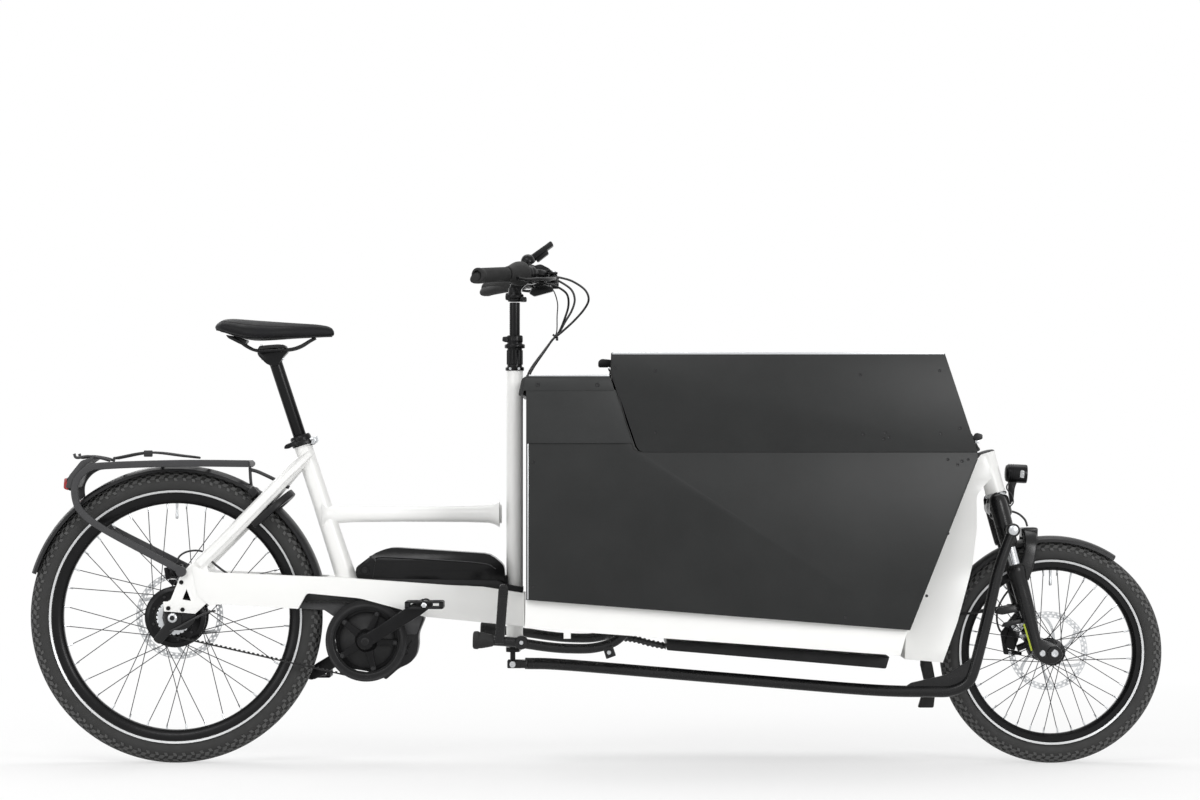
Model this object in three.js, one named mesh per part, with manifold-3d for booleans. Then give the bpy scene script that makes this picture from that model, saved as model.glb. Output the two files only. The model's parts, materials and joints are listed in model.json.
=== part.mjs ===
// A long cargo bicycle: small suspended front wheel steered by a rod, lidded box, mid motor, belt drive.
// Millimetres. +X is the riding direction, +Y the rider's left, +Z up, and the tyres stand on Z = 0.
import * as THREE from 'three';
import { mergeVertices } from 'three/addons/utils/BufferGeometryUtils.js';
import Module from 'manifold-3d';

const wasm = await Module();
wasm.setup();

// Wheels: a 62-559 tyre behind and a 55-406 tyre in front
const REAR = { x: -977.5, z: 340, tyre: 340, width: 62, bead: 281, well: 263.5, rimWidth: 36 };
const FRONT = { x: 1059, z: 258, tyre: 258, width: 55, bead: 204, well: 190, rimWidth: 32 };
const SPOKES = 36;
const ROTOR_RADIUS = { rear: 102, front: 92 };
const ROTOR_Y = { rear: 56, front: 43 };

// Steering: the column is upright, the fork leans back, and a rod on the right joins their arms
const COLUMN_X = -189.7;
const HEAD_TILT = 15;
const HEAD = { x: 933, z: 623 };
const STEER_LIMIT = 22;
const ROD_Y = -165;
const ROD_REAR = { x: COLUMN_X, z: 256 };
const FORK_ARM = 159.4;
const FORK_LEG_Y = 62;
const FORK_OFFSET = 34;

// Drive
const BB = { x: -531.5, z: 286.3 };
const CRANK = 165;
const CRANK_ANGLE = 32;
const BELT_PITCH = 11;
const BELT_WIDTH = 12;
const BELT_Y = -50;
const RING_TEETH = 50;
const COG_TEETH = 24;
const RING_PITCH_RADIUS = RING_TEETH * BELT_PITCH / (2 * Math.PI);
const COG_PITCH_RADIUS = COG_TEETH * BELT_PITCH / (2 * Math.PI);

// Cargo box
const BOX_HALF = 320;
const BOARD = 9;
const GAP = 0.3;
const BOX_REAR = -156;
const LID_HINGE = { x: 866, z: 729 };
const PAN_HALF = 300;
const STAND_PIVOT = { x: 72, z: 318 };

const COLOURS = {
  white: [0xeeeeec, 0.35, 0.0],
  board: [0x454545, 0.6, 0.0],
  black: [0x1d1d1e, 0.5, 0.0],
  rubber: [0x2a2a2a, 0.85, 0.0],
  steel: [0xb9babb, 0.3, 1.0],
};

const bicycle = new THREE.Group();
const V = (x, y, z) => new THREE.Vector3(x, y, z);
const rad = THREE.MathUtils.degToRad;

// A closed geometry as a solid, with its shared vertices merged
function solid(geometry) {
  const bare = geometry.index ? geometry.toNonIndexed() : geometry.clone();
  bare.deleteAttribute('normal');
  bare.deleteAttribute('uv');
  const merged = mergeVertices(bare, 1e-4);
  const mesh = new wasm.Mesh({
    numProp: 3,
    vertProperties: new Float32Array(merged.attributes.position.array),
    triVerts: new Uint32Array(merged.index.array),
  });
  mesh.merge();
  return new wasm.Manifold(mesh);
}

// Adds a solid to the bicycle as one named, coloured mesh
function piece(name, body, colour) {
  const mesh = body.getMesh();
  const geometry = new THREE.BufferGeometry();
  const places = new Float32Array(mesh.numVert * 3);
  for (let i = 0; i < mesh.numVert; i += 1) {
    places.set(mesh.vertProperties.subarray(i * mesh.numProp, i * mesh.numProp + 3), i * 3);
  }
  geometry.setAttribute('position', new THREE.BufferAttribute(places, 3));
  geometry.setIndex(new THREE.BufferAttribute(new Uint32Array(mesh.triVerts), 1));
  const [hex, roughness, metalness] = COLOURS[colour];
  const material = new THREE.MeshStandardMaterial({ color: hex, roughness, metalness, flatShading: true });
  const item = new THREE.Mesh(geometry, material);
  item.name = name;
  bicycle.add(item);
}

const join = (...bodies) => bodies.reduce((sum, body) => sum.add(body));

function box(x0, x1, y0, y1, z0, z1) {
  const geometry = new THREE.BoxGeometry(x1 - x0, y1 - y0, z1 - z0);
  return solid(geometry.translate((x0 + x1) / 2, (y0 + y1) / 2, (z0 + z1) / 2));
}

// Turns a geometry made along +Z so that it runs from a towards b
function aim(geometry, a, b) {
  const turn = new THREE.Quaternion().setFromUnitVectors(V(0, 0, 1), b.clone().sub(a).normalize());
  return geometry.applyQuaternion(turn).translate(a.x, a.y, a.z);
}

// A round bar from a to b, which may taper
function bar(a, b, radius, sides = 16, endRadius = radius) {
  const length = a.distanceTo(b);
  const geometry = new THREE.CylinderGeometry(endRadius, radius, length, sides);
  return solid(aim(geometry.rotateX(Math.PI / 2).translate(0, 0, length / 2), a, b));
}

// A profile of [radius, height] pairs turned about the line from a towards b
function turned(profile, a, b, segments = 32) {
  const points = profile.map(([r, h]) => new THREE.Vector2(r, h));
  const closed = points[0].x > 0 ? [...points, points[0].clone()] : points;
  const body = solid(aim(new THREE.LatheGeometry(closed, segments).rotateX(Math.PI / 2), a, b));
  return body.volume() < 0 ? solidInsideOut(body) : body;
}

function solidInsideOut(body) {
  const mesh = body.getMesh();
  const flipped = new Uint32Array(mesh.triVerts.length);
  for (let i = 0; i < flipped.length; i += 3) {
    flipped.set([mesh.triVerts[i], mesh.triVerts[i + 2], mesh.triVerts[i + 1]], i);
  }
  return new wasm.Manifold(new wasm.Mesh({
    numProp: 3, vertProperties: mesh.vertProperties, triVerts: flipped,
  }));
}

// An outline of [across, up] pairs, with a corner radius as an optional third value
function outline(points) {
  const shape = new THREE.Shape();
  const count = points.length;
  const at = (i) => new THREE.Vector2(points[(i + count) % count][0], points[(i + count) % count][1]);
  for (let i = 0; i < count; i += 1) {
    const corner = at(i);
    const shortest = Math.min(corner.distanceTo(at(i - 1)), corner.distanceTo(at(i + 1)));
    const reach = Math.min(points[i][2] ?? 0, 0.47 * shortest);
    const before = corner.clone().add(at(i - 1).sub(corner).setLength(Math.max(reach, 1e-6)));
    const after = corner.clone().add(at(i + 1).sub(corner).setLength(Math.max(reach, 1e-6)));
    if (reach === 0) {
      i === 0 ? shape.moveTo(corner.x, corner.y) : shape.lineTo(corner.x, corner.y);
    } else {
      i === 0 ? shape.moveTo(before.x, before.y) : shape.lineTo(before.x, before.y);
      shape.quadraticCurveTo(corner.x, corner.y, after.x, after.y);
    }
  }
  return shape;
}

// Side outline [x, z] given thickness from y0 to y1
function sideSlab(points, y0, y1, curveSegments = 2) {
  const shape = outline(points);
  const geometry = new THREE.ExtrudeGeometry(shape, { depth: y1 - y0, bevelEnabled: false, curveSegments });
  return solid(geometry.rotateX(Math.PI / 2).translate(0, y1, 0));
}

// Plan outline [x, y] given height from z0 to z1
function planSlab(points, z0, z1, curveSegments = 2) {
  const shape = outline(points);
  const geometry = new THREE.ExtrudeGeometry(shape, { depth: z1 - z0, bevelEnabled: false, curveSegments });
  return solid(geometry.translate(0, 0, z0));
}

// Front outline [y, z] given length from x0 to x1
function frontSlab(points, x0, x1, curveSegments = 2) {
  const shape = outline(points);
  const geometry = new THREE.ExtrudeGeometry(shape, { depth: x1 - x0, bevelEnabled: false, curveSegments });
  return solid(geometry.rotateX(Math.PI / 2).rotateZ(Math.PI / 2).translate(x0, 0, 0));
}

// A section swept along a smooth route
function swept(section, route, steps) {
  const extrudePath = new THREE.CatmullRomCurve3(route, false, 'centripetal');
  const options = { steps, extrudePath, bevelEnabled: false, curveSegments: 2 };
  const geometry = new THREE.ExtrudeGeometry(section, options);
  const body = solid(geometry);
  return body.volume() < 0 ? solidInsideOut(body) : body;
}

function roundSection(radius, sides = 10) {
  const shape = new THREE.Shape();
  for (let i = 0; i < sides; i += 1) {
    const turn = 2 * Math.PI * i / sides;
    const x = radius * Math.cos(turn);
    const y = radius * Math.sin(turn);
    i === 0 ? shape.moveTo(x, y) : shape.lineTo(x, y);
  }
  return shape;
}

const tube = (radius, route, steps, sides = 10) => swept(roundSection(radius, sides), route, steps);

// Wheels

// A line across the bike through (x, z), from the right side to the left
const across = (x, z, y0 = 0, y1 = 1) => [V(x, y0, z), V(x, y1, z)];

// Turns about a wheel's axle, with heights measured from the centre plane towards the left
const wheelTurned = (wheel, profile, segments) => turned(profile, ...across(wheel.x, wheel.z), segments);

// The half of a section on one side of the centre plane, mirrored to make the whole ring
const bothSides = (half) => [...half, ...half.map(([r, y]) => [r, -y]).reverse()];

function tyre(name, wheel, segments) {
  const half = wheel.width / 2;
  const wall = wheel.tyre - wheel.bead;
  const at = (share) => wheel.bead + wall * share;
  const seat = wheel.rimWidth / 2 - 3;
  const section = bothSides([
    [at(0.55), half * 0.8], [wheel.bead + 4, seat - 4], [wheel.bead + 9, seat],
    [at(0.58), half], [at(0.92), half * 0.66], [wheel.tyre, 5],
  ].reverse());
  piece(name, wheelTurned(wheel, section, segments), 'rubber');
}

function rim(name, wheel, segments) {
  const half = wheel.rimWidth / 2;
  const lip = wheel.bead + 7;
  const section = bothSides([
    [wheel.well, half * 0.45], [wheel.bead - 4, half], [lip, half], [wheel.bead - 3, half - 2.2],
  ]);
  const valve = bar(V(wheel.x, 0, wheel.z + wheel.well + 3), V(wheel.x, 0, wheel.z + wheel.well - 34), 3, 6);
  piece(name, join(wheelTurned(wheel, section, segments), valve), 'black');
}

// Crossed spokes, each from a flange towards the rim, as one body with the hub that carries them
function spokedHub(name, wheel, hub, flange, lean, segments) {
  let body = wheelTurned(wheel, hub, segments);
  for (let i = 0; i < SPOKES; i += 1) {
    const side = i % 2 === 0 ? -1 : 1;
    const twist = i % 4 < 2 ? lean : -lean;
    const rimTurn = rad(360 * (i + 0.5) / SPOKES + 2);
    const hubTurn = rimTurn + rad(twist);
    const inner = flange.radius - 4.5;
    const outer = wheel.well - 1.8;
    const y = side * (flange.y + (twist > 0 ? 1.5 : -1.5));
    const from = V(wheel.x + inner * Math.sin(hubTurn), y, wheel.z + inner * Math.cos(hubTurn));
    const to = V(wheel.x + outer * Math.sin(rimTurn), y * 0.12, wheel.z + outer * Math.cos(rimTurn));
    body = body.add(bar(from, to, 1.2, 3));
  }
  piece(name, body, 'black');
}

// A circle of points, or part of one
function arcPoints(radius, count, from = 0, to = 2 * Math.PI, centre = [0, 0]) {
  const closed = Math.abs(to - from) > 6.28;
  return Array.from({ length: closed ? count : count + 1 }, (_, i) => {
    const turn = from + (to - from) * i / count;
    return new THREE.Vector2(centre[0] + radius * Math.cos(turn), centre[1] + radius * Math.sin(turn));
  });
}

// A brake disc: a band on bent arms, bolted to the hub's left side
function rotor(name, wheel, radius, y, boreRadius) {
  const disc = new THREE.Shape(arcPoints(radius, 28));
  const arms = 6;
  for (let i = 0; i < arms; i += 1) {
    const start = 2 * Math.PI * i / arms;
    const end = start + 2 * Math.PI / arms;
    const outer = arcPoints(radius - 17, 3, start + 0.24, end + 0.06);
    const inner = arcPoints(32, 1, end - 0.2, start + 0.2);
    disc.holes.push(new THREE.Path([...outer, ...inner]));
  }
  disc.holes.push(new THREE.Path(arcPoints(boreRadius, 10)));
  const plate = new THREE.ExtrudeGeometry(disc, { depth: 2, bevelEnabled: false });
  piece(name, solid(plate.rotateX(Math.PI / 2).translate(wheel.x, y + 1, wheel.z)), 'steel');
}

const REAR_SEGMENTS = 32;
const FRONT_SEGMENTS = 32;
tyre('rear_tyre', REAR, REAR_SEGMENTS);
rim('rear_rim', REAR, REAR_SEGMENTS);
spokedHub('rear_hub', REAR, [
  [7.5, -38], [30, -38], [71, -33], [71, -27], [66, -24], [66, 25], [71, 28], [71, 34], [30, 54.5], [7.5, 54.5],
], { radius: 71, y: 30.5 }, 20, 12);
rotor('rear_rotor', REAR, ROTOR_RADIUS.rear, ROTOR_Y.rear, 12);
tyre('front_tyre', FRONT, FRONT_SEGMENTS);
rim('front_rim', FRONT, FRONT_SEGMENTS);
spokedHub('front_hub', FRONT, [
  [9.5, -38], [15, -38], [31, -30], [31, -24], [25, -21], [25, 21], [31, 24], [31, 30], [20, 41.5], [9.5, 41.5],
], { radius: 31, y: 27 }, 50, 10);
rotor('front_rotor', FRONT, ROTOR_RADIUS.front, ROTOR_Y.front, 10);

// Belt drive

// A toothed pulley outline with straight-sided grooves for the belt's teeth
function toothedOutline(teeth, tip) {
  const shape = new THREE.Shape();
  const step = 2 * Math.PI / teeth;
  for (let i = 0; i < teeth; i += 1) {
    const corners = [[-0.25, tip], [0.25, tip], [0.5, tip - 3.6]];
    corners.forEach(([share, radius], k) => {
      const turn = step * (i + share);
      const x = radius * Math.cos(turn);
      const y = radius * Math.sin(turn);
      i + k === 0 ? shape.moveTo(x, y) : shape.lineTo(x, y);
    });
  }
  return shape;
}

// A flat outline given width across the bike, between y0 and y1, about the centre (x, z)
function pulley(shape, centre, y0, y1) {
  const geometry = new THREE.ExtrudeGeometry(shape, { depth: y1 - y0, bevelEnabled: false });
  return solid(geometry.rotateX(Math.PI / 2).translate(centre.x, y1, centre.z));
}

const RING_TIP = RING_PITCH_RADIUS - 1.2;
const COG_TIP = COG_PITCH_RADIUS - 1.2;
const BELT_CLEAR = 1.2;
const BELT_BACK = 2.6;
const BELT_TOOTH = 2.6;
const COG_WRAP_STEPS = 10;
const RING_WRAP_STEPS = 20;

function drivePulleys() {
  const half = BELT_WIDTH / 2;
  const ringShape = toothedOutline(RING_TEETH, RING_TIP);
  ringShape.holes.push(new THREE.Path(arcPoints(73, 20)));
  piece('belt_ring', pulley(ringShape, BB, BELT_Y - half, BELT_Y + half), 'black');
  const cog = toothedOutline(COG_TEETH, COG_TIP);
  cog.holes.push(new THREE.Path(arcPoints(27, 12)));
  const driver = turned([[8, BELT_Y - 4], [28, BELT_Y - 4], [28, -39], [8, -39]], ...across(REAR.x, REAR.z), 12);
  piece('rear_cog', join(pulley(cog, REAR, BELT_Y - half, BELT_Y + half), driver), 'steel');
}
drivePulleys();

// The belt's side view: two runs with teeth on the inside and two plain wraps round the pulleys
function belt() {
  const dx = BB.x - REAR.x;
  const dz = BB.z - REAR.z;
  const distance = Math.hypot(dx, dz);
  const slope = Math.atan2(dz, dx);
  const inner = { ring: RING_TIP + BELT_CLEAR, cog: COG_TIP + BELT_CLEAR };
  const spread = Math.acos((inner.cog - inner.ring) / distance);
  const point = (centre, radius, turn) => [centre.x + radius * Math.cos(turn), centre.z + radius * Math.sin(turn)];
  const wrap = (centre, radius, from, to, steps) => Array.from({ length: steps + 1 }, (_, i) => (
    point(centre, radius, from + (to - from) * i / steps)));
  const loop = (extra) => [
    ...wrap(REAR, inner.cog + extra, slope + spread, slope - spread + 2 * Math.PI, COG_WRAP_STEPS),
    ...wrap(BB, inner.ring + extra, slope - spread, slope + spread, RING_WRAP_STEPS),
  ];
  const shape = outline(loop(BELT_BACK));
  const inside = loop(0);
  const runs = [[inside[COG_WRAP_STEPS], inside[COG_WRAP_STEPS + 1]], [inside[inside.length - 1], inside[0]]];
  const toothed = runs.map(([from, to], side) => {
    const length = Math.hypot(to[0] - from[0], to[1] - from[1]);
    const along = [(to[0] - from[0]) / length, (to[1] - from[1]) / length];
    const inward = [-along[1], along[0]];
    const margin = side === 0 ? [20, 30] : [30, 20];
    const count = Math.floor((length - margin[0] - margin[1]) / BELT_PITCH);
    const points = [];
    for (let i = 0; i < count; i += 1) {
      const start = margin[0] + BELT_PITCH * i;
      for (const [s, depth] of [[0, 0], [2.8, BELT_TOOTH], [5.6, 0]]) {
        points.push([from[0] + along[0] * (start + s) + inward[0] * depth,
          from[1] + along[1] * (start + s) + inward[1] * depth]);
      }
    }
    return points;
  });
  const turn = COG_WRAP_STEPS + 1;
  const hole = [...inside.slice(0, turn), ...toothed[0], ...inside.slice(turn), ...toothed[1]];
  const path = new THREE.Path(hole.map(([x, z]) => new THREE.Vector2(x, z)));
  shape.holes.push(path);
  const width = BELT_WIDTH - 0.6;
  const geometry = new THREE.ExtrudeGeometry(shape, { depth: width, bevelEnabled: false });
  piece('belt', solid(geometry.rotateX(Math.PI / 2).translate(0, BELT_Y + width / 2, 0)), 'black');
}
belt();

// Cranks and pedals, the right one forward and up
function crankEnd(side) {
  const turn = rad(CRANK_ANGLE) + (side < 0 ? 0 : Math.PI);
  return { x: BB.x + CRANK * Math.cos(turn), z: BB.z + CRANK * Math.sin(turn), turn };
}

function crankArm(side) {
  const end = crankEnd(side);
  const arm = new THREE.Shape();
  arm.moveTo(0, -17);
  arm.lineTo(CRANK, -11.5);
  arm.absarc(CRANK, 0, 12, -Math.PI / 2, Math.PI / 2, false);
  arm.lineTo(0, 17);
  arm.absarc(0, 0, 17, Math.PI / 2, 1.5 * Math.PI, false);
  const plate = new THREE.ExtrudeGeometry(arm, {
    depth: 13, bevelEnabled: false, curveSegments: 5,
  });
  plate.rotateX(Math.PI / 2).rotateY(-end.turn);
  const y = side < 0 ? -93 : 106;
  return solid(plate.translate(BB.x, y, BB.z));
}

function cranks() {
  const spindle = bar(V(BB.x, -92, BB.z), V(BB.x, 100, BB.z), 11, 12);
  let spider = bar(V(BB.x, -98, BB.z), V(BB.x, BELT_Y + 4, BB.z), 20, 14, 26);
  const arms = 5;
  for (let i = 0; i < arms; i += 1) {
    const turn = rad(CRANK_ANGLE + 36) + 2 * Math.PI * i / arms;
    const reach = V(Math.cos(turn), 0, Math.sin(turn));
    const root = V(BB.x, BELT_Y - 2, BB.z).addScaledVector(reach, 12);
    const tip = V(BB.x, BELT_Y, BB.z).addScaledVector(reach, 71.2);
    spider = spider.add(bar(root, tip, 7, 4, 4.6));
  }
  const cut = bar(V(BB.x, -105, BB.z), V(BB.x, -30, BB.z), 11.8, 12);
  piece('crank_right', join(crankArm(-1), spider).subtract(cut), 'black');
  piece('crank_left', join(crankArm(1), spindle), 'black');
}
cranks();

// A flat pedal: a caged frame with grip bars round its own axle stub
function pedal(name, side) {
  const end = crankEnd(side);
  const inner = side < 0 ? -108.2 : 107.2;
  const sleeve = bar(V(end.x, inner, end.z), V(end.x, side * 196, end.z), 8.5, 8);
  const frame = box(end.x - 44, end.x + 44, Math.min(side * 114, side * 190), Math.max(side * 114, side * 190),
    end.z - 9, end.z + 9);
  const windows = [-1, 1].map((half) => box(end.x + half * 21 - 13, end.x + half * 21 + 13,
    Math.min(side * 121, side * 183), Math.max(side * 121, side * 183), end.z - 12, end.z + 12));
  piece(name, join(frame.subtract(windows[0]).subtract(windows[1]), sleeve), 'black');
}
pedal('pedal_right', -1);
pedal('pedal_left', 1);

// Frame

const RAIL_HALF = 81;
const RAIL_INNER = 59;
const SEAT_TUBE = { top: V(-690, 0, 757), foot: V(-580, 0, 424) };
const DROPOUT_Y = [68, 78];

// The side view of the two rails, from the dropouts to the steering tube
const railSide = [
  [-935, 466, 12], [-904, 446, 20], [-594, 433], [-345, 415], [-262, 411], [-165.5, 396], [-165.5, 319],
  [-398, 342], [-455, 360, 10], [-546, 385, 10], [-668, 397, 6], [-688, 361], [-867, 372, 15], [-893, 369], [-920, 392],
];
const railPlan = [
  [-960, -RAIL_HALF], [-640, -RAIL_HALF, 60], [-400, -60, 60], [-165.5, -56],
  [-165.5, 56], [-400, 60, 60], [-640, RAIL_HALF, 60], [-960, RAIL_HALF],
];
const dropoutSide = [
  [-905, 480, 8], [-936, 466, 10], [-960, 438, 8], [-984, 378, 6], [-1000, 377], [-998, 355],
  [-926, 349.5], [-899, 374, 10], [-880, 400],
];
const dropoutWindow = [[-946, 407], [-956, 382], [-935.5, 379]];

function rails() {
  const solidRails = sideSlab(railSide, -90, 90).intersect(planSlab(railPlan, 300, 500));
  const wheelSlot = planSlab([
    [-1100, -RAIL_INNER], [-624, -RAIL_INNER], [-624, RAIL_INNER], [-1100, RAIL_INNER],
  ], 300, 500);
  const motorPocket = planSlab([
    [-640, -RAIL_INNER], [-432, -RAIL_INNER], [-400, -50], [-400, 50], [-432, RAIL_INNER], [-640, RAIL_INNER],
  ], 290, 402);
  return solidRails.subtract(wheelSlot).subtract(motorPocket);
}

function dropout(side) {
  const y = side < 0 ? [-DROPOUT_Y[1], -DROPOUT_Y[0]] : DROPOUT_Y;
  const window = sideSlab(dropoutWindow, y[0] - 5, y[1] + 5);
  return sideSlab(dropoutSide, ...y).subtract(window);
}

// A stay leaves the seat tube narrow, spreads past the tyre and meets the dropout plate
function seatStay(side) {
  const section = outline([[-14, -5], [-11, -8], [11, -8], [14, -5], [14, 5], [11, 8], [-11, 8], [-14, 5]]);
  const route = [
    V(-668, side * 14, 717), V(-700, side * 30, 686), V(-752, side * 53, 630),
    V(-830, side * 66, 549), V(-917, side * 73, 462),
  ];
  return swept(section, route, 5);
}

function topTube() {
  const profile = [[0, 0], [21, 0], [17, 60], [16, 180], [18, 330], [22, 400], [0, 400]];
  return turned(profile, V(-620, 0, 577), V(-190, 0, 579), 12);
}

function rearFrame() {
  const seatTube = bar(SEAT_TUBE.top, SEAT_TUBE.foot, 19.5, 12);
  const steeringTube = bar(V(COLUMN_X, 0, 293), V(COLUMN_X, 0, 913), 19, 12);
  const columnBore = bar(V(COLUMN_X, 0, 280), V(COLUMN_X, 0, 930), 16, 10);
  const slope = SEAT_TUBE.foot.clone().sub(SEAT_TUBE.top).normalize();
  const postBore = bar(SEAT_TUBE.top.clone().addScaledVector(slope, -20),
    SEAT_TUBE.top.clone().addScaledVector(slope, 240), 16, 12);
  const batteryShelf = sideSlab([[-548, 404], [-240, 400], [-240, 424.5], [-548, 430]], -40, 40);
  const whole = join(rails(), dropout(-1), dropout(1), seatStay(-1), seatStay(1), topTube(),
    seatTube, batteryShelf, steeringTube);
  piece('frame', whole.subtract(columnBore).subtract(postBore), 'white');
}
rearFrame();

// The box stands on a sloping white pan; heights follow the box's lower edge
const BOX_LOW = { rear: [BOX_REAR, 391], front: [705, 323], corner: [857, 705.5] };
const lowEdge = (x) => 391 + (x - BOX_REAR) * (323 - 391) / (705 - BOX_REAR);

function pan() {
  const outer = [
    [-158, lowEdge(-158) - GAP], [701, lowEdge(701) - GAP], [685, 265], [-159, 327],
  ];
  const inside = [[-150, lowEdge(-150) - 7], [690, lowEdge(690) - 7], [672, 240], [-150, 300]];
  const rearNotch = box(-170, -140, -58, 58, 300, 380);
  const shell = sideSlab(outer, -PAN_HALF, PAN_HALF).subtract(sideSlab(inside, -PAN_HALF + 5, PAN_HALF - 5));
  const spine = sideSlab([[-164, 372], [690, lowEdge(690) - 4], [675, 275], [-164, 323]], -52, 52);
  const lugs = [-1, 1].map((side) => sideSlab([
    [40, lowEdge(40) - 4], [104, lowEdge(104) - 4], [88, STAND_PIVOT.z, 8], [82, STAND_PIVOT.z - 14, 8],
    [62, STAND_PIVOT.z - 14, 8], [56, STAND_PIVOT.z, 8],
  ], side < 0 ? -222 : 210, side < 0 ? -210 : 222));
  const tabs = [-1, 1].map((side) => box(-72, -56, side < 0 ? -PAN_HALF : PAN_HALF - 5,
    side < 0 ? -PAN_HALF + 5 : PAN_HALF, 303, 335));
  const pivotBore = bar(V(STAND_PIVOT.x, -240, STAND_PIVOT.z), V(STAND_PIVOT.x, 240, STAND_PIVOT.z), 9, 10);
  const bearer = join(shell.subtract(rearNotch), spine, ...lugs, ...tabs);
  piece('cargo_floor_pan', bearer.subtract(pivotBore), 'white');
}
pan();

// The mast straddles the front wheel's swing below and closes to a single web under the head tube
const headAt = (z, offset = 0) => {
  const x = HEAD.x - (z - HEAD.z) * Math.tan(rad(HEAD_TILT));
  return V(x + offset, 0, z);
};

function mast() {
  const side = [
    [707, 249], [794, 241], [829, 333], [866, 463], [880, 545, 10], [884, 622, 8], [922, 668], [905, 716, 6], [880, 716],
    [867, 700], [712, 322],
  ];
  const front = [
    [-150, 230], [-150, 262, 10], [-138, 330, 20], [-128, 430, 40], [-72, 560, 60], [-26, 640, 20], [-26, 730],
    [26, 730], [26, 640, 20], [72, 560, 60], [128, 430, 40], [138, 330, 20], [150, 262, 10], [150, 230],
  ];
  const arch = [
    [-111, 220], [-111, 350, 20], [-97, 470, 20], [-62, 528, 20], [62, 528, 20], [97, 470, 20], [111, 350, 20], [111, 220],
  ];
  const web = [[690, 220], [783, 220], [774, 333], [815, 463], [856, 570], [690, 570]];
  const body = sideSlab(side, -160, 160).intersect(frontSlab(front, 690, 960, 3));
  const opening = frontSlab(arch, 640, 1000, 3).subtract(sideSlab(web, -160, 160));
  const headTube = bar(headAt(628), headAt(721), 23, 18);
  const bore = bar(headAt(600), headAt(740), 17.5, 12);
  piece('front_mast', join(body.subtract(opening), headTube).subtract(bore), 'white');
}
mast();

// Cargo box: flat boards screwed to edge angles, the sides outside the others

const INNER = BOX_HALF - BOARD;
const LID_TOP = 946;
const LID_JOINT = 722;

function boxBoards() {
  const side = [
    [BOX_REAR, 391], [705, 323], [857, 705.5], [857, LID_JOINT - GAP], [93, LID_JOINT - GAP, 14],
    [45, 862], [BOX_REAR, 862],
  ];
  piece('box_side_right', sideSlab(side, -BOX_HALF, -INNER), 'board');
  piece('box_side_left', sideSlab(side, INNER, BOX_HALF), 'board');
  const y = INNER - GAP;
  piece('box_rear_wall', box(BOX_REAR, BOX_REAR + BOARD, -y, y, 391.5, 858), 'board');
  const frontWall = [[705, 323.5], [857, 705.5], [857, 716], [848, 716], [695.5, 334]];
  piece('box_front_wall', sideSlab(frontWall, -y, y), 'board');
  const x0 = BOX_REAR + BOARD + GAP;
  const floor = [
    [x0, lowEdge(x0) + GAP], [694, lowEdge(694) + GAP], [694.5, lowEdge(694) + 12], [x0, lowEdge(x0) + 12],
  ];
  piece('box_floor', sideSlab(floor, -y, y), 'board');
}
boxBoards();

// The fixed rear hood: a folded cover with cheeks over the side boards and a sloping rear lip
function rearHood() {
  const outer = [[-173, 851], [-166, 888, 6], [-150, 895], [32, 895], [44, 862], [85, 744], [BOX_REAR, 742.5]];
  const cheek = 3;
  const cheeks = [-1, 1].map((side) => {
    const y = side * (BOX_HALF + GAP);
    return sideSlab([[BOX_REAR, 742.5], [BOX_REAR, 895], [30.5, 895], [42, 862], [82, 742.5]],
      Math.min(y, y + side * cheek), Math.max(y, y + side * cheek));
  });
  const half = BOX_HALF + GAP + cheek;
  const topSkin = sideSlab([
    outer[0], outer[1], outer[2], [30.5, 895], [33.6, 886], [-148, 886], [-157, 879], [-163, 852],
  ], -half, half);
  const shelf = box(BOX_REAR, 34, -half, half, 883, 889);
  const tubeNotch = bar(V(COLUMN_X, 0, 800), V(COLUMN_X, 0, 940), 23, 16);
  piece('rear_hood', join(topSkin, shelf, ...cheeks).subtract(tubeNotch), 'board');
}
rearHood();

// The lid: five boards as one shell, hinged across the front and open below
function lid() {
  const side = [
    [96, LID_JOINT + GAP, 14], [857, LID_JOINT + GAP], [783, LID_TOP], [36, LID_TOP], [34, 900], [47, 866],
  ];
  const inner = [
    [108, LID_JOINT - 10], [845, LID_JOINT - 10], [775, LID_TOP - BOARD], [44, LID_TOP - BOARD], [43, 901], [57, 866],
    [104, 734],
  ];
  const shell = sideSlab(side, -BOX_HALF, BOX_HALF).subtract(sideSlab(inner, -INNER, INNER));
  const { x, z } = LID_HINGE;
  const knuckles = [-210, 210].map((y) => bar(V(x, y - 30, z), V(x, y + 30, z), 5, 8));
  const leaves = [-210, 210].map((y) => sideSlab([
    [x - 3, z + 3], [x + 3, z + 3], [853, 764], [843, 764], [854, 731],
  ], y - 26, y + 26));
  piece('lid', join(shell, ...knuckles, ...leaves), 'board');
  const plate = sideSlab([[5, 921, 4], [34.5, 921], [34.5, 938], [12, 940, 6], [5, 934, 4]], -30, 30);
  piece('lid_handle', plate, 'black');
}
lid();

// Drive unit and battery

function motor() {
  const side = [
    [-612, 378], [-600, 392], [-420, 392], [-404, 352, 14], [-400, 300, 30], [-412, 238, 20],
    [-455, 204, 26], [-520, 192, 30], [-585, 210, 30], [-622, 262, 30], [-624, 320, 30],
  ];
  const core = sideSlab(side, -35.5, 40);
  const round = [[0, -40], [30, -40], [68, -35], [66, 0], [70, 56], [58, 70], [0, 70]];
  const rim = turned(round, ...across(BB.x, BB.z), 18);
  const lug = sideSlab([[-430, 206], [-392, 196], [-376, 214], [-398, 262], [-420, 262]], -30, 38);
  const bore = bar(V(BB.x, -60, BB.z), V(BB.x, 90, BB.z), 12, 12);
  const guard = sideSlab([
    [-612, 262], [-648, 240], [-671, 181], [-655, 178], [-625, 200], [-560, 206], [-560, 240],
  ], -30, 30);
  piece('motor', join(core, rim, lug, guard).subtract(bore), 'black');
}
motor();

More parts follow.
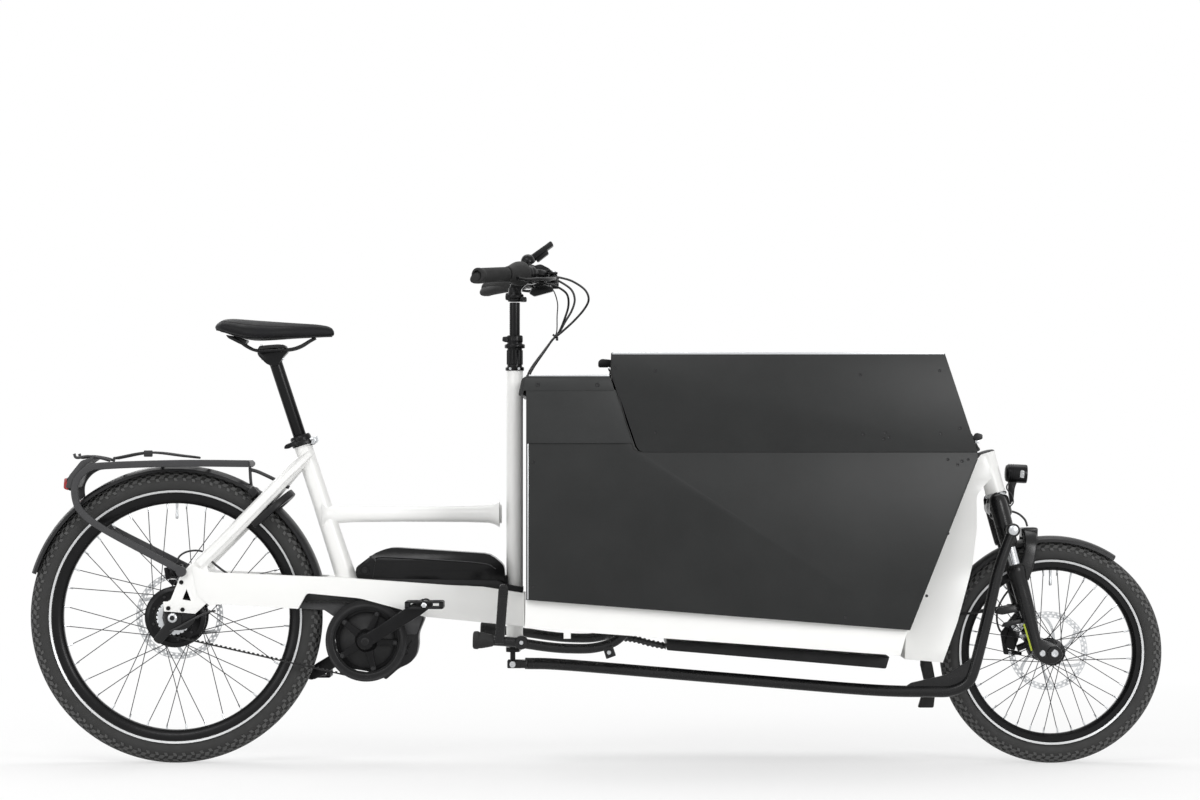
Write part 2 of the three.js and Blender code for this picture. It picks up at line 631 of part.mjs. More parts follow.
// A dark cover hides the motor's top and the belt's front end
function motorShroud() {
  const wing = [
    [-690, 359], [-668, 396], [-555, 386], [-458, 360], [-402, 341], [-416, 300], [-440, 300],
    [-470, 340], [-540, 366], [-618, 352], [-640, 340],
  ];
  const plate = sideSlab(wing, -43, -36);
  piece('motor_shroud', plate, 'black');
}
motorShroud();

function battery() {
  const side = [
    [-556, 431, 6], [-558, 455, 8], [-512, 490, 14], [-476, 502, 14], [-246, 487, 14], [-213, 460, 10], [-211, 425, 6],
  ];
  const body = sideSlab(side, -46, 46).intersect(frontSlab([
    [-46, 420], [-46, 478, 14], [-34, 510, 14], [34, 510, 14], [46, 478, 14], [46, 420],
  ], -600, -180));
  const hand = sideSlab([[-553, 436, 5], [-553, 452, 5], [-528, 470, 5], [-524, 436, 5]], -47.2, 47.2);
  piece('battery', join(body, hand), 'black');
}
battery();

// Under the floor

function underFloor() {
  const cover = sideSlab([[162, 296], [668, 257], [660, 230], [161, 272]], -205, 205);
  const neck = sideSlab([[200, lowEdge(200) - 8], [620, lowEdge(620) - 8], [620, 250], [200, 285]], 60, 150);
  piece('under_floor_cover', join(cover, neck), 'black');
}
underFloor();

// A ribbed hose round the cables: rings of ribs along a falling route
function ribbedHose() {
  const route = new THREE.CatmullRomCurve3([
    V(22, -177, 305), V(53, -178, 300), V(88, -179, 296), V(124, -180, 287), V(160.5, -180, 280),
  ]);
  const ribs = 11;
  const sides = 7;
  const rings = [];
  const ring = (share, radius) => {
    const at = route.getPointAt(share);
    const ahead = route.getTangentAt(share);
    const up = V(0, 1, 0).cross(ahead).normalize();
    const points = [];
    for (let i = 0; i < sides; i += 1) {
      const turn = 2 * Math.PI * i / sides;
      points.push(at.clone().addScaledVector(V(0, 1, 0), radius * Math.cos(turn))
        .addScaledVector(up, radius * Math.sin(turn)));
    }
    rings.push(points);
  };
  ring(0, 6);
  for (let i = 0; i < ribs; i += 1) {
    const start = 0.06 + 0.88 * i / ribs;
    ring(start, 6);
    ring(start + 0.44 / ribs, 8.4);
  }
  ring(0.94, 6);
  ring(1, 6);
  return ringSkin(rings, arcPoints(1, sides).map((point) => [point.x, point.y]));
}

// Joins rings of equal count into a closed skin; the flat section gives the end faces their cut
function ringSkin(rings, section) {
  const sides = rings[0].length;
  const faces = [];
  for (let i = 0; i < rings.length - 1; i += 1) {
    for (let k = 0; k < sides; k += 1) {
      const a = i * sides + k;
      const b = i * sides + (k + 1) % sides;
      faces.push(a, b, b + sides, a, b + sides, a + sides);
    }
  }
  const flat = section.map(([u, v]) => new THREE.Vector2(u, v));
  const forward = !THREE.ShapeUtils.isClockWise(flat);
  const last = (rings.length - 1) * sides;
  for (const [a, b, c] of THREE.ShapeUtils.triangulateShape([...flat], [])) {
    const [p, q] = forward ? [c, b] : [b, c];
    faces.push(a, p, q, last + a, last + q, last + p);
  }
  const places = rings.flat().flatMap((point) => [point.x, point.y, point.z]);
  const mesh = new wasm.Mesh({
    numProp: 3, vertProperties: new Float32Array(places), triVerts: new Uint32Array(faces),
  });
  const body = new wasm.Manifold(mesh);
  return body.volume() < 0 ? solidInsideOut(body) : body;
}
piece('cable_conduit', ribbedHose(), 'black');

// Seat

const POST_LEAN = SEAT_TUBE.foot.clone().sub(SEAT_TUBE.top).normalize();
const postAt = (distance) => SEAT_TUBE.top.clone().addScaledVector(POST_LEAN, -distance);

function seatClamp() {
  const ring = turned([[20.4, -20], [24.5, -20], [24.5, 4], [16.2, 4], [16.2, 0.4], [20.4, 0.4]],
    postAt(0), postAt(1), 12);
  const ear = box(-672, -650, -9, 9, 738, 752);
  const lever = sideSlab([[-660, 752, 4], [-655, 740], [-635, 744], [-634, 756, 5], [-650, 758, 5]], -22, -9);
  const bolt = bar(V(-654, -22, 746), V(-654, 16, 746), 5, 6);
  const tubeSpace = bar(postAt(-60), postAt(0.4), 20.4, 12);
  const postSpace = bar(postAt(-60), postAt(30), 16.2, 12);
  const whole = join(ring, ear, lever, bolt);
  piece('seat_clamp', whole.subtract(tubeSpace).subtract(postSpace), 'steel');
}
seatClamp();

function seatPost() {
  const shaft = bar(postAt(-190), postAt(196), 15.1, 12);
  const head = join(
    bar(postAt(188), V(-752, 0, 948), 17, 12),
    box(-785, -722, -17, 17, 940, 952),
    bar(V(-753, -30, 943), V(-753, 30, 943), 8, 8),
  );
  piece('seat_post', join(shaft, head), 'black');
}
seatPost();

const RAIL_HEIGHT = 956;
function saddleRails() {
  const rail = (side) => tube(3.5, [
    V(-845, side * 31, 983), V(-820, side * 25, 964), V(-780, side * 22, 958), V(-710, side * 21, 958),
    V(-680, side * 15, 972), V(-655, side * 6, 985),
  ], 7, 5);
  const bridge = bar(V(-655, -9, 985), V(-655, 9, 985), 3.5, 6);
  const clampBlock = box(-778, -728, -34, 34, 952.4, 964).subtract(box(-780, -726, -18, 18, 958, 970));
  const bumper = box(-860, -818, -22, 22, 975, 987);
  const stem = box(-856, -832, -36, 36, 978, 986);
  piece('saddle_rails', join(rail(-1), rail(1), bridge, clampBlock, stem, bumper), 'black');
}
saddleRails();

// The saddle's crown: rings across, wide and rounded behind, narrow at the nose
function saddle() {
  const stations = [
    [-886, 52, 1016, 1004], [-868, 78, 1035, 994], [-835, 86, 1037, 990], [-795, 78, 1031, 988],
    [-750, 54, 1027, 988], [-705, 33, 1025.5, 988], [-655, 23, 1025, 989], [-622, 19, 1021, 991], [-611, 11, 1009, 998],
  ];
  const sides = 14;
  const rings = stations.map(([x, half, top, bottom]) => {
    const middle = bottom + (top - bottom) * 0.35;
    return Array.from({ length: sides }, (_, i) => {
      const turn = 2 * Math.PI * i / sides;
      const up = Math.sin(turn);
      const reach = Math.sign(Math.cos(turn)) * Math.abs(Math.cos(turn)) ** 0.75;
      return V(x, half * reach, middle + up * (up > 0 ? top - middle : middle - bottom));
    });
  });
  piece('saddle', ringSkin(rings, arcPoints(1, sides).map((point) => [point.x, point.y])), 'rubber');
}
saddle();

// Steering column and handlebar

function steeringColumn() {
  const shaft = bar(V(COLUMN_X, 0, 262), V(COLUMN_X, 0, 918), 14.5, 10);
  const arm = planSlab([
    [COLUMN_X - 20, 22, 10], [COLUMN_X + 20, 22, 10], [COLUMN_X + 14, ROD_Y - 12, 12], [COLUMN_X - 14, ROD_Y - 12, 12],
  ], 266, 276);
  const race = bar(V(COLUMN_X, 0, 913.6), V(COLUMN_X, 0, 933), 22, 10, 20);
  const washer = bar(V(COLUMN_X, 0, 276), V(COLUMN_X, 0, 291), 24, 10);
  const stud = bar(V(ROD_REAR.x, ROD_Y, 246), V(ROD_REAR.x, ROD_Y, 283), 6, 8);
  const upper = bar(V(COLUMN_X, 0, 930), V(COLUMN_X, 0, 978), 16.5, 10);
  const clamp = join(bar(V(COLUMN_X, 0, 976), V(COLUMN_X, 0, 996), 20, 10),
    box(COLUMN_X + 8, COLUMN_X + 30, -11, 11, 978, 994));
  const bore = bar(V(COLUMN_X, 0, 780), V(COLUMN_X, 0, 1000), 12.9, 10);
  piece('steering_column', join(shaft, arm, stud, washer, race, upper, clamp).subtract(bore), 'black');
}
steeringColumn();

// The bar sweeps back about 37 degrees each side of a straight middle held in the stem's clamp
const BAR = { x: -152, z: 1137 };
const GRIP_END = V(-264, 322, 1119);
const GRIP_IN = V(-160, 178, 1131);

const flipped = (point, side) => V(point.x, point.y * side, point.z);
const gripLine = (share, side) => flipped(GRIP_IN.clone().lerp(GRIP_END, share), side);

function stemAndBar() {
  const post = bar(V(COLUMN_X, 0, 800), V(COLUMN_X, 0, 1082), 12, 10);
  const reach = swept(outline([[-14, -13, 5], [14, -13, 5], [14, 13, 5], [-14, 13, 5]]),
    [V(COLUMN_X - 8, 0, 1072), V(COLUMN_X + 4, 0, 1102), V(BAR.x, 0, BAR.z)], 3);
  const clamp = bar(V(BAR.x, -24, BAR.z), V(BAR.x, 24, BAR.z), 22, 12);
  const bore = bar(V(BAR.x, -60, BAR.z), V(BAR.x, 60, BAR.z), 12.2, 10);
  const head = bar(V(COLUMN_X, 0, 1070), V(COLUMN_X, 0, 1090), 21, 10);
  piece('stem', join(post, reach, clamp, head).subtract(bore), 'black');
  const middle = [gripLine(-0.06, -1), gripLine(-0.16, -1), V(BAR.x, -84, BAR.z), V(BAR.x, 0, BAR.z),
    V(BAR.x, 84, BAR.z), gripLine(-0.16, 1), gripLine(-0.06, 1)];
  const ends = [-1, 1].map((side) => bar(gripLine(-0.1, side), gripLine(0.985, side), 11, 8));
  const masters = [-1, 1].map((side) => join(
    bar(gripLine(0.04, side), gripLine(-0.1, side), 18, 8),
    bar(flipped(V(-128, 150, 1132), side), flipped(V(-112, 88, 1132), side), 11, 8, 9),
    bar(flipped(V(-146, 152, 1133), side), flipped(V(-122, 140, 1132), side), 9, 6),
  ));
  const bell = join(turned([[0, 16], [13, 16], [13, 26], [9, 32], [0, 34]], V(-150, 116, 1135), V(-165, 112, 1200), 9),
    bar(V(-150, 116, 1135), V(-155, 114.7, 1157), 6, 6));
  piece('handlebar', join(tube(11, middle, 8, 8), ...ends, ...masters, bell), 'black');
}
stemAndBar();

// A grip is a sleeve with an outer palm wing; the right one is shorter for the twist shifter
function grip(name, side, from) {
  const sleeve = bar(gripLine(from, side), gripLine(1.02, side), 16.5, 12);
  const wing = bar(gripLine(0.6, side).add(V(-3, 0, 1)), gripLine(1.02, side).add(V(-12, 0, 5)), 13, 8, 17);
  const bore = bar(gripLine(from - 0.4, side), gripLine(0.988, side), 12, 10);
  piece(name, join(sleeve, wing).subtract(bore), 'rubber');
}
grip('grip_right', -1, 0.42);
grip('grip_left', 1, 0.08);

function shifter() {
  const sleeve = turned([[12, 0], [19, 0], [20.5, 30], [17, 58], [12, 58]], gripLine(0.06, -1), gripLine(0.4, -1), 12);
  piece('twist_shifter', sleeve, 'rubber');
}
shifter();

function brakeLever(name, side) {
  const blade = tube(5.5, [
    flipped(V(-98, 124, 1126), side), flipped(V(-98, 165, 1120), side), flipped(V(-124, 222, 1116), side),
    flipped(V(-158, 272, 1112), side), flipped(V(-178, 296, 1114), side),
  ], 6, 5);
  const hub = bar(flipped(V(-97, 120, 1116), side), flipped(V(-97, 120, 1131), side), 9, 8);
  piece(name, join(blade, hub), 'black');
}
brakeLever('brake_lever_right', -1);
brakeLever('brake_lever_left', 1);

function display() {
  const face = sideSlab([[-150, 1178, 3], [-145, 1173, 3], [-101, 1209, 3], [-106, 1215, 3]], -28, 28);
  const neck = sideSlab([[-128, 1186], [-142, 1162], [-158, 1161.5], [-158, 1165], [-146, 1176]], -9, 9);
  piece('display', join(face, neck), 'black');
}
display();

// Cables from the controls forward, down in a bow and under the hood's rear edge
function cables() {
  const bundle = [V(-88, 0, 1001), V(-115, 0, 975), V(-139, 0, 943), V(-153, 0, 912), V(-157, 0, 897)];
  const route = (apart, ...start) => tube(2.6, [
    ...start, ...bundle.map((point) => point.clone().add(V(0, apart, 0))),
  ], 11, 4);
  const outer = route(-6.5, V(-111.7, -87, 1132), V(-100, -60, 1130), V(-50, -50, 1119), V(-16, -44, 1093),
    V(-20, -34, 1064), V(-46, -18, 1034));
  const middle = route(6.5, V(-111.7, 87, 1132), V(-100, 60, 1130), V(-66, 48, 1115), V(-46, 36, 1090),
    V(-52, 26, 1062), V(-67, 14, 1033));
  const inner = route(0, V(-141, -128, 1117), V(-118, -110, 1110), V(-84, -76, 1105), V(-64, -50, 1084),
    V(-64, -28, 1056), V(-76, -6, 1028));
  const tie = box(-95, -86, -10, 10, 993, 1001);
  piece('control_cables', join(outer, middle, inner, tie), 'black');
}
cables();

// Steering rod: straight under the box, then bent up beside the wheel, with a gusset in the bend
function steeringRod() {
  const joint = join(bar(V(ROD_REAR.x, ROD_Y, 232), V(ROD_REAR.x, ROD_Y, 245.6), 13, 12),
    bar(V(ROD_REAR.x, ROD_Y - 14, 239), V(ROD_REAR.x, ROD_Y + 14, 239), 6, 8));
  piece('rod_joint', joint, 'steel');
  const forkBall = forkBallCentre();
  const fork = join(
    box(ROD_REAR.x - 12, ROD_REAR.x + 20, ROD_Y - 22, ROD_Y - 15, 230, 248),
    box(ROD_REAR.x - 12, ROD_REAR.x + 20, ROD_Y + 15, ROD_Y + 22, 230, 248),
    box(ROD_REAR.x + 15, ROD_REAR.x + 34, ROD_Y - 22, ROD_Y + 22, 230, 248),
  );
  const eyes = bar(V(ROD_REAR.x, ROD_Y - 30, 239), V(ROD_REAR.x, ROD_Y + 30, 239), 7, 8);
  const route = [
    V(ROD_REAR.x + 28, ROD_Y, 240), V(-60, ROD_Y, 236), V(300, ROD_Y, 206), V(620, ROD_Y, 180), V(760, ROD_Y, 176),
    V(812, ROD_Y, 178), V(848, ROD_Y, 196), V(866, ROD_Y, 234), V(896, ROD_Y, 352), V(920, ROD_Y - 1, 453),
    V(forkBall.x - 6, forkBall.y - 3, 530),
  ];
  const body = tube(13, route, 15, 6);
  const gusset = sideSlab([[700, 182], [815, 184, 12], [852, 206, 12], [872, 262], [850, 246], [800, 214], [720, 196]],
    ROD_Y - 5, ROD_Y + 5);
  const cup = bar(V(forkBall.x, forkBall.y - 11, forkBall.z), V(forkBall.x, forkBall.y + 11, forkBall.z), 15.5, 12);
  const hollow = bar(V(forkBall.x, forkBall.y - 40, forkBall.z), V(forkBall.x, forkBall.y + 40, forkBall.z), 10.4, 12);
  piece('steering_rod', join(body, gusset, fork, cup).subtract(eyes).subtract(hollow), 'black');
}

// The fork's arm points right from the steering axis, at the height where the rod ends
function forkBallCentre() {
  const lean = rad(HEAD_TILT);
  const along = (544 - HEAD.z) / Math.cos(lean);
  return V(HEAD.x - along * Math.sin(lean), -FORK_ARM, 544);
}
steeringRod();

// Suspension fork

const LEAN = V(-Math.sin(rad(HEAD_TILT)), 0, Math.cos(rad(HEAD_TILT)));
const legLine = (side, distance) => {
  const foot = V(FRONT.x - FORK_OFFSET, side * FORK_LEG_Y, FRONT.z - 4);
  return foot.addScaledVector(LEAN, distance);
};

function forkCrown() {
  const steerer = bar(headAt(600), headAt(718), 14, 8);
  const legs = [-1, 1].map((side) => bar(legLine(side, 134), legLine(side, 380), 14.3, 10));
  const bridge = bar(legLine(-1, 352), legLine(1, 352), 20, 8);
  const sockets = [-1, 1].map((side) => turned([[0, 258], [19, 258], [21.5, 290], [22, 366], [17, 386], [0, 386]],
    legLine(side, 0), legLine(side, 1), 10));
  const block = bar(headAt(570), headAt(622), 26, 10);
  const ball = forkBallCentre();
  const arm = bar(V(ball.x, -FORK_LEG_Y, ball.z), V(ball.x, ball.y + 24, ball.z), 11, 8, 8);
  const stud = bar(V(ball.x, ball.y + 25, ball.z), V(ball.x, ball.y, ball.z), 4.4, 8);
  const head = new THREE.SphereGeometry(8.4, 8, 5).translate(ball.x, ball.y, ball.z);
  piece('fork_crown', join(steerer, ...legs, bridge, ...sockets, block, arm, stud, solid(head)), 'black');
}
forkCrown();

function forkLowers() {
  const leg = (side) => turned([[0, 0], [13, 0], [15, 76], [18.6, 84], [19.5, 190], [22, 200], [22, 212], [0, 212]],
    legLine(side, 0), legLine(side, 1), 12);
  const bore = (side) => bar(legLine(side, 88), legLine(side, 240), 15.8, 8);
  const dropout = (side) => {
    const y = [side * 50, side * 74];
    return sideSlab([[1012, 262, 8], [1032, 236, 10], [1066, 238, 14], [1078, 258, 14], [1064, 276, 14], [1036, 288, 8]],
      Math.min(...y), Math.max(...y));
  };
  const archHalf = (side) => [V(986, side * 62, 432), V(1003, side * 60, 474), V(1007, side * 54, 517)];
  const archRoute = [...archHalf(-1), V(1007, -34, 536), V(1006, 0, 540), V(1007, 34, 536), ...archHalf(1).reverse()];
  const arch = swept(outline([[-14, -6], [14, -6], [14, 6], [-14, 6]]), archRoute, 8);
  const stayMounts = [-1, 1].map((side) => bar(V(994, side * 58, 362), V(964, side * 50, 362), 5, 6));
  const axle = bar(V(FRONT.x, -84, FRONT.z), V(FRONT.x, 84, FRONT.z), 7.5, 10);
  const mount = join(bar(V(990, 62, 342), V(970, 62, 318), 8, 6), bar(V(1012, 62, 272), V(988, 62, 262), 8, 6));
  const whole = join(leg(-1), leg(1), dropout(-1), dropout(1), arch, ...stayMounts, axle, mount);
  piece('fork_lowers', whole.subtract(bore(-1)).subtract(bore(1)), 'black');
}
forkLowers();

// Mudguards, lights, brakes and carrier

// A mudguard: a shallow channel section swept round part of the wheel, angles in degrees from +X
function guardBand(wheel, radius, half, skirt, from, to, steps) {
  const section = [
    [radius - skirt, -half], [radius - 3, -half * 0.8], [radius + 1.5, 0], [radius - 3, half * 0.8],
    [radius - skirt, half], [radius - skirt, half - 2.4], [radius - 5, half * 0.74], [radius - 1.5, 0],
    [radius - 5, -half * 0.74], [radius - skirt, -half + 2.4],
  ];
  const rings = Array.from({ length: steps + 1 }, (_, i) => {
    const turn = rad(from + (to - from) * i / steps);
    return section.map(([r, y]) => V(wheel.x + r * Math.cos(turn), y, wheel.z + r * Math.sin(turn)));
  });
  return ringSkin(rings, section);
}

function rearMudguard() {
  const band = guardBand(REAR, 351, 36, 13, 14, 163, 16);
  piece('rear_mudguard', band, 'black');
}
rearMudguard();

function frontMudguard() {
  const band = guardBand(FRONT, 269, 30, 13, 56, 161, 10);
  const stay = (side) => bar(V(812, side * 28.6, 345), V(962, side * 46, 362), 2.6, 6);
  piece('front_mudguard', join(band, stay(-1), stay(1)), 'black');
}
frontMudguard();

const LIGHT = { x: 979, z: 673 };
function headlight() {
  const shell = turned([[0, -25], [17, -25], [20, -18], [21.5, 4], [21.5, 26], [18.5, 26], [17, 20], [0, 20]],
    V(LIGHT.x, 0, LIGHT.z), V(LIGHT.x + 1, 0, LIGHT.z - 0.05), 16);
  const foot = sideSlab([
    [LIGHT.x - 14, 660], [LIGHT.x + 6, 658], [LIGHT.x - 4, 640], [974, 612], [973, 600], [967.3, 600], [961.5, 632],
  ], -7, 7);
  piece('headlight', join(shell, foot), 'black');
}
headlight();

// A brake caliper: a block on each side of the disc, joined over its edge
function caliper(name, centre, y, tilt, colour) {
  const block = new THREE.BoxGeometry(44, 42, 28);
  const bores = new THREE.CylinderGeometry(14, 14, 40, 10);
  const slot = new THREE.BoxGeometry(50, 5, 40).translate(0, 0, centre.drop);
  const place = (geometry) => solid(geometry.rotateY(rad(tilt)).translate(centre.x, y, centre.z));
  piece(name, join(place(block), place(bores)).subtract(place(slot)), colour);
}
caliper('rear_caliper', { x: -989, z: 442, drop: -14 }, ROTOR_Y.rear + 1, -10, 'black');
caliper('front_caliper', { x: 972, z: 285, drop: -14 }, ROTOR_Y.front + 1, -73, 'black');

// Rear axle with its sliding plates inside the dropouts and the gear-cable box on the right
function rearAxle() {
  const axle = bar(V(REAR.x, -92, REAR.z), V(REAR.x, 92, REAR.z), 6, 8);
  const slider = [[-1001, 372, 4], [-926, 366, 4], [-926, 332, 10], [-950, 310, 14], [-1000, 312, 18]];
  const plates = [sideSlab(slider, -67.7, -61.5), sideSlab(slider, 61.5, 67.7)];
  const nuts = [-1, 1].map((side) => bar(V(REAR.x, side * 66, REAR.z), V(REAR.x, side * 86, REAR.z), 11, 6));
  const cableBox = sideSlab([
    [-998, 348, 8], [-992, 330, 8], [-1024, 290, 6], [-1008, 278, 6], [-970, 316, 8], [-957, 322, 10], [-957, 347, 6],
  ], -80, -67);
  piece('rear_axle', join(axle, ...plates, ...nuts, cableBox), 'black');
}
rearAxle();

const RACK_TOP = 700;
function rack() {
  const side = (y) => tube(7, [
    V(-806, y, RACK_TOP - 4), V(-960, y, RACK_TOP - 3), V(-1130, y, RACK_TOP - 8), V(-1190, y * 0.96, 690),
    V(-1214, y * 0.92, 652), V(-1204, y * 0.95, 598), V(-1140, y * 1.1, 545), V(-1040, Math.sign(y) * 82, 492),
    V(-958, Math.sign(y) * 86, 450),
  ], 10, 5);
  const cross = (x, z) => bar(V(x, -62, z), V(x, 62, z), 5, 6);
  const front = bar(V(-808, -62, RACK_TOP - 4), V(-808, 62, RACK_TOP - 4), 7, 6);
  const stay = tube(5, [V(-806, 0, RACK_TOP - 4), V(-786, 0, 690), V(-730, 0, 668), V(-712, 0, 664)], 6, 6);
  const tail = sideSlab([[-1226, 640, 4], [-1218, 668, 4], [-1190, 702, 6], [-1165, 712], [-1165, 704], [-1184, 690],
    [-1204, 640]], -56, 56);
  piece('rack', join(side(-60), side(60), cross(-900, RACK_TOP - 4), cross(-1010, RACK_TOP - 4),
    cross(-1110, RACK_TOP - 8), front, stay, tail), 'black');
  const flap = tube(3.2, [
    V(-1118, -40, 709), V(-1040, -42, 722), V(-960, -36, 714), V(-925, 0, 710), V(-960, 36, 714),
    V(-1040, 42, 722), V(-1118, 40, 709),
  ], 9, 5);
  piece('rack_flap', join(flap, bar(V(-1118, -44, 709), V(-1118, 44, 709), 3.2, 5)), 'steel');
}
rack();

// Ring lock: a thick horseshoe across the wheel under the seat stays
function ringLock() {
  const horseshoe = new THREE.Shape([
    ...arcPoints(68, 12, rad(-20), rad(200)), new THREE.Vector2(-66, -50), new THREE.Vector2(-46, -50),
    ...arcPoints(47, 10, rad(200), rad(-20)), new THREE.Vector2(46, -50), new THREE.Vector2(66, -50),
  ]);
  const geometry = new THREE.ExtrudeGeometry(horseshoe, { depth: 17, bevelEnabled: false });
  geometry.translate(0, 0, -8.5).rotateZ(-Math.PI / 2).rotateY(rad(-41)).translate(-757, 0, 586);
  piece('ring_lock', solid(geometry), 'black');
}
ringLock();

// Stand: two bent legs joined by the pivot tube, with rubber feet and a foot lever
function stand() {
  const leg = (side) => tube(11, [
    V(-262, side * 246, 297), V(-190, side * 246, 293), V(-110, side * 246, 282), V(-60, side * 243, 278),
    V(-5, side * 238, 279), V(40, side * 232, 292), V(STAND_PIVOT.x, side * 235, STAND_PIVOT.z),
  ], 7, 6);
  const foot = (side) => bar(V(-272, side * 246, 297), V(-236, side * 246, 296), 20, 8, 13);
  const pivot = bar(V(STAND_PIVOT.x, -228, STAND_PIVOT.z), V(STAND_PIVOT.x, 228, STAND_PIVOT.z), 7.8, 8);
  const lever = sideSlab([[-228, 290], [-208, 290], [-199, 412, 8], [-202, 422, 6], [-216, 422, 6], [-219, 412, 6]],
    -262, -252);
  const neck = bar(V(-216, -254, 296), V(-216, -240, 296), 9, 8);
  const lug = sideSlab([[16, 280], [36, 284], [44, 262], [24, 254]], -244, -232);
  piece('stand', join(leg(-1), leg(1), foot(-1), foot(1), pivot, lever, neck, lug), 'black');
}
stand();

function skid() {
  const post = sideSlab([[756, 244], [780, 242], [784, 226], [792, 182], [786, 128], [750, 128], [766, 182], [756, 226]],
    -11, 11);
  piece('underride_post', post, 'rubber');
}
skid();

export default bicycle;
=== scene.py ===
# %% [markdown]
# # An electric cargo bicycle
# This notebook dresses a imported CAD model of a cargo bicycle. The CAD gives every size, joint and
# position. Blender adds what a quick stand-in lacks: round tubes with soft edges, tread, spokes,
# stitching, fasteners and materials that behave like the real ones.
# The first step loads that model.

# %% Load the frame
import json
import math
import bmesh
import bpy
from mathutils import Matrix, Vector

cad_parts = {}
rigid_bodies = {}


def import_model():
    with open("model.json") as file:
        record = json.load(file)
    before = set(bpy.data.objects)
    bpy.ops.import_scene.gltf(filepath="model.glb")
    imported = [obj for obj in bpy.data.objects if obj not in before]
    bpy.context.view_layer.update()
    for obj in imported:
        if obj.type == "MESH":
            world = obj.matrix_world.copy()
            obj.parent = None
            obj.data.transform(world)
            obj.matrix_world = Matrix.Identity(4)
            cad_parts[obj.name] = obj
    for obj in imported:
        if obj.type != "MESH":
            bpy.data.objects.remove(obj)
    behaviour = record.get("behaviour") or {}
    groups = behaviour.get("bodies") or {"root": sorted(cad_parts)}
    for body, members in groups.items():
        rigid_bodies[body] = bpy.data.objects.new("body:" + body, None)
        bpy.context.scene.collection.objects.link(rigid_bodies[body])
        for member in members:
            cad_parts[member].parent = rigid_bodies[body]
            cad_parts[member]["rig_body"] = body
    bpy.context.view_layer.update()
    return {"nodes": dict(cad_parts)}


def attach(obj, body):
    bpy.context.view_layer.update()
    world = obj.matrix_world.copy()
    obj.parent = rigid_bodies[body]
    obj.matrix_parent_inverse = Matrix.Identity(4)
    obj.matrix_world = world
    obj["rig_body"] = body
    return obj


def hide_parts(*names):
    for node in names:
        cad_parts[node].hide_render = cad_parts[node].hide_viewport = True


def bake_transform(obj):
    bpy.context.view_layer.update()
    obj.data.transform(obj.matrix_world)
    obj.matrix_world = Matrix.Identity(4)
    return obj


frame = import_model()
NODES = frame["nodes"]
MM = 0.001

# %% [markdown]
# ## The camera, the floor and the light
# The photograph looks level at the bicycle's right side from about eight metres, through a long lens.
# Both wheels are standard sizes, which fixes the scale, and the way near parts shift against far parts
# fixes the distance. A wide pale floor in white surroundings keeps the shadow soft and short.

# %% Camera
camera_data = bpy.data.cameras.new("photo_camera")
camera_data.lens = 106.7
camera_data.sensor_width = 36.0
camera = bpy.data.objects.new("photo_camera", camera_data)
camera.location = (0.021, -8.3, 0.705)
aim_point = Vector((0.0093, 0.0, 0.8446))
camera.rotation_euler = (aim_point - camera.location).to_track_quat("-Z", "Y").to_euler()
bpy.context.scene.collection.objects.link(camera)
bpy.context.scene.camera = camera
bpy.context.scene.view_settings.view_transform = "Standard"
print("camera", round(camera_data.lens, 1), "mm at", tuple(camera.location))


# %% Colours and nodes
def colour(code):
    """An sRGB hex value as the linear colour that a shader wants."""
    parts = [int(code[i:i + 2], 16) / 255 for i in (0, 2, 4)]
    linear = [c / 12.92 if c <= 0.04045 else ((c + 0.055) / 1.055) ** 2.4 for c in parts]
    return (*linear, 1.0)


def feed(tree, node, inputs):
    """Links or sets the inputs of a node."""
    for socket, value in inputs.items():
        if isinstance(value, bpy.types.NodeSocket):
            tree.links.new(value, node.inputs[socket])
        else:
            node.inputs[socket].default_value = value


def add(tree, kind, inputs=None, **settings):
    """Adds one node, sets its properties, and links or sets its inputs."""
    node = tree.nodes.new(kind)
    for name, value in settings.items():
        setattr(node, name, value)
    feed(tree, node, inputs or {})
    return node


def arithmetic(tree, operation, *values):
    """The result of one Math node."""
    return add(tree, "ShaderNodeMath", dict(enumerate(values)), operation=operation).outputs[0]


def begin(name):
    """A material with one Principled shader, and the position that its patterns read."""
    material = bpy.data.materials.new(name)
    material.use_nodes = True
    tree = material.node_tree
    tree.nodes.clear()
    shader = add(tree, "ShaderNodeBsdfPrincipled")
    add(tree, "ShaderNodeOutputMaterial", {"Surface": shader.outputs[0]})
    place = add(tree, "ShaderNodeTexCoord").outputs["Object"]
    return material, tree, shader, place


def ramp(tree, value, base, shade, low=0.3, high=0.7):
    """A colour ramp from one hex colour to another."""
    node = add(tree, "ShaderNodeValToRGB", {"Fac": value})
    for element, where, code in zip(node.color_ramp.elements, (low, high), (base, shade)):
        element.position = where
        element.color = colour(code)
    return node.outputs["Color"]


def noise(tree, place, size_mm, detail=3.0, rough=0.55):
    """Soft noise whose blobs are about size_mm across."""
    return add(tree, "ShaderNodeTexNoise", {
        "Vector": place, "Scale": 1000.0 / size_mm, "Detail": detail, "Roughness": rough,
    }).outputs["Fac"]


def spread(tree, value, low, high):
    """Stretches a 0..1 pattern to run from low to high."""
    return add(tree, "ShaderNodeMapRange", {"Value": value, "From Min": 0.3, "From Max": 0.7,
                                            "To Min": low, "To Max": high}).outputs["Result"]


def raise_surface(tree, shader, height, depth_mm, strength):
    """Bump of a real depth."""
    bump = add(tree, "ShaderNodeBump", {"Height": height, "Distance": depth_mm * MM, "Strength": strength})
    feed(tree, shader, {"Normal": bump.outputs["Normal"]})


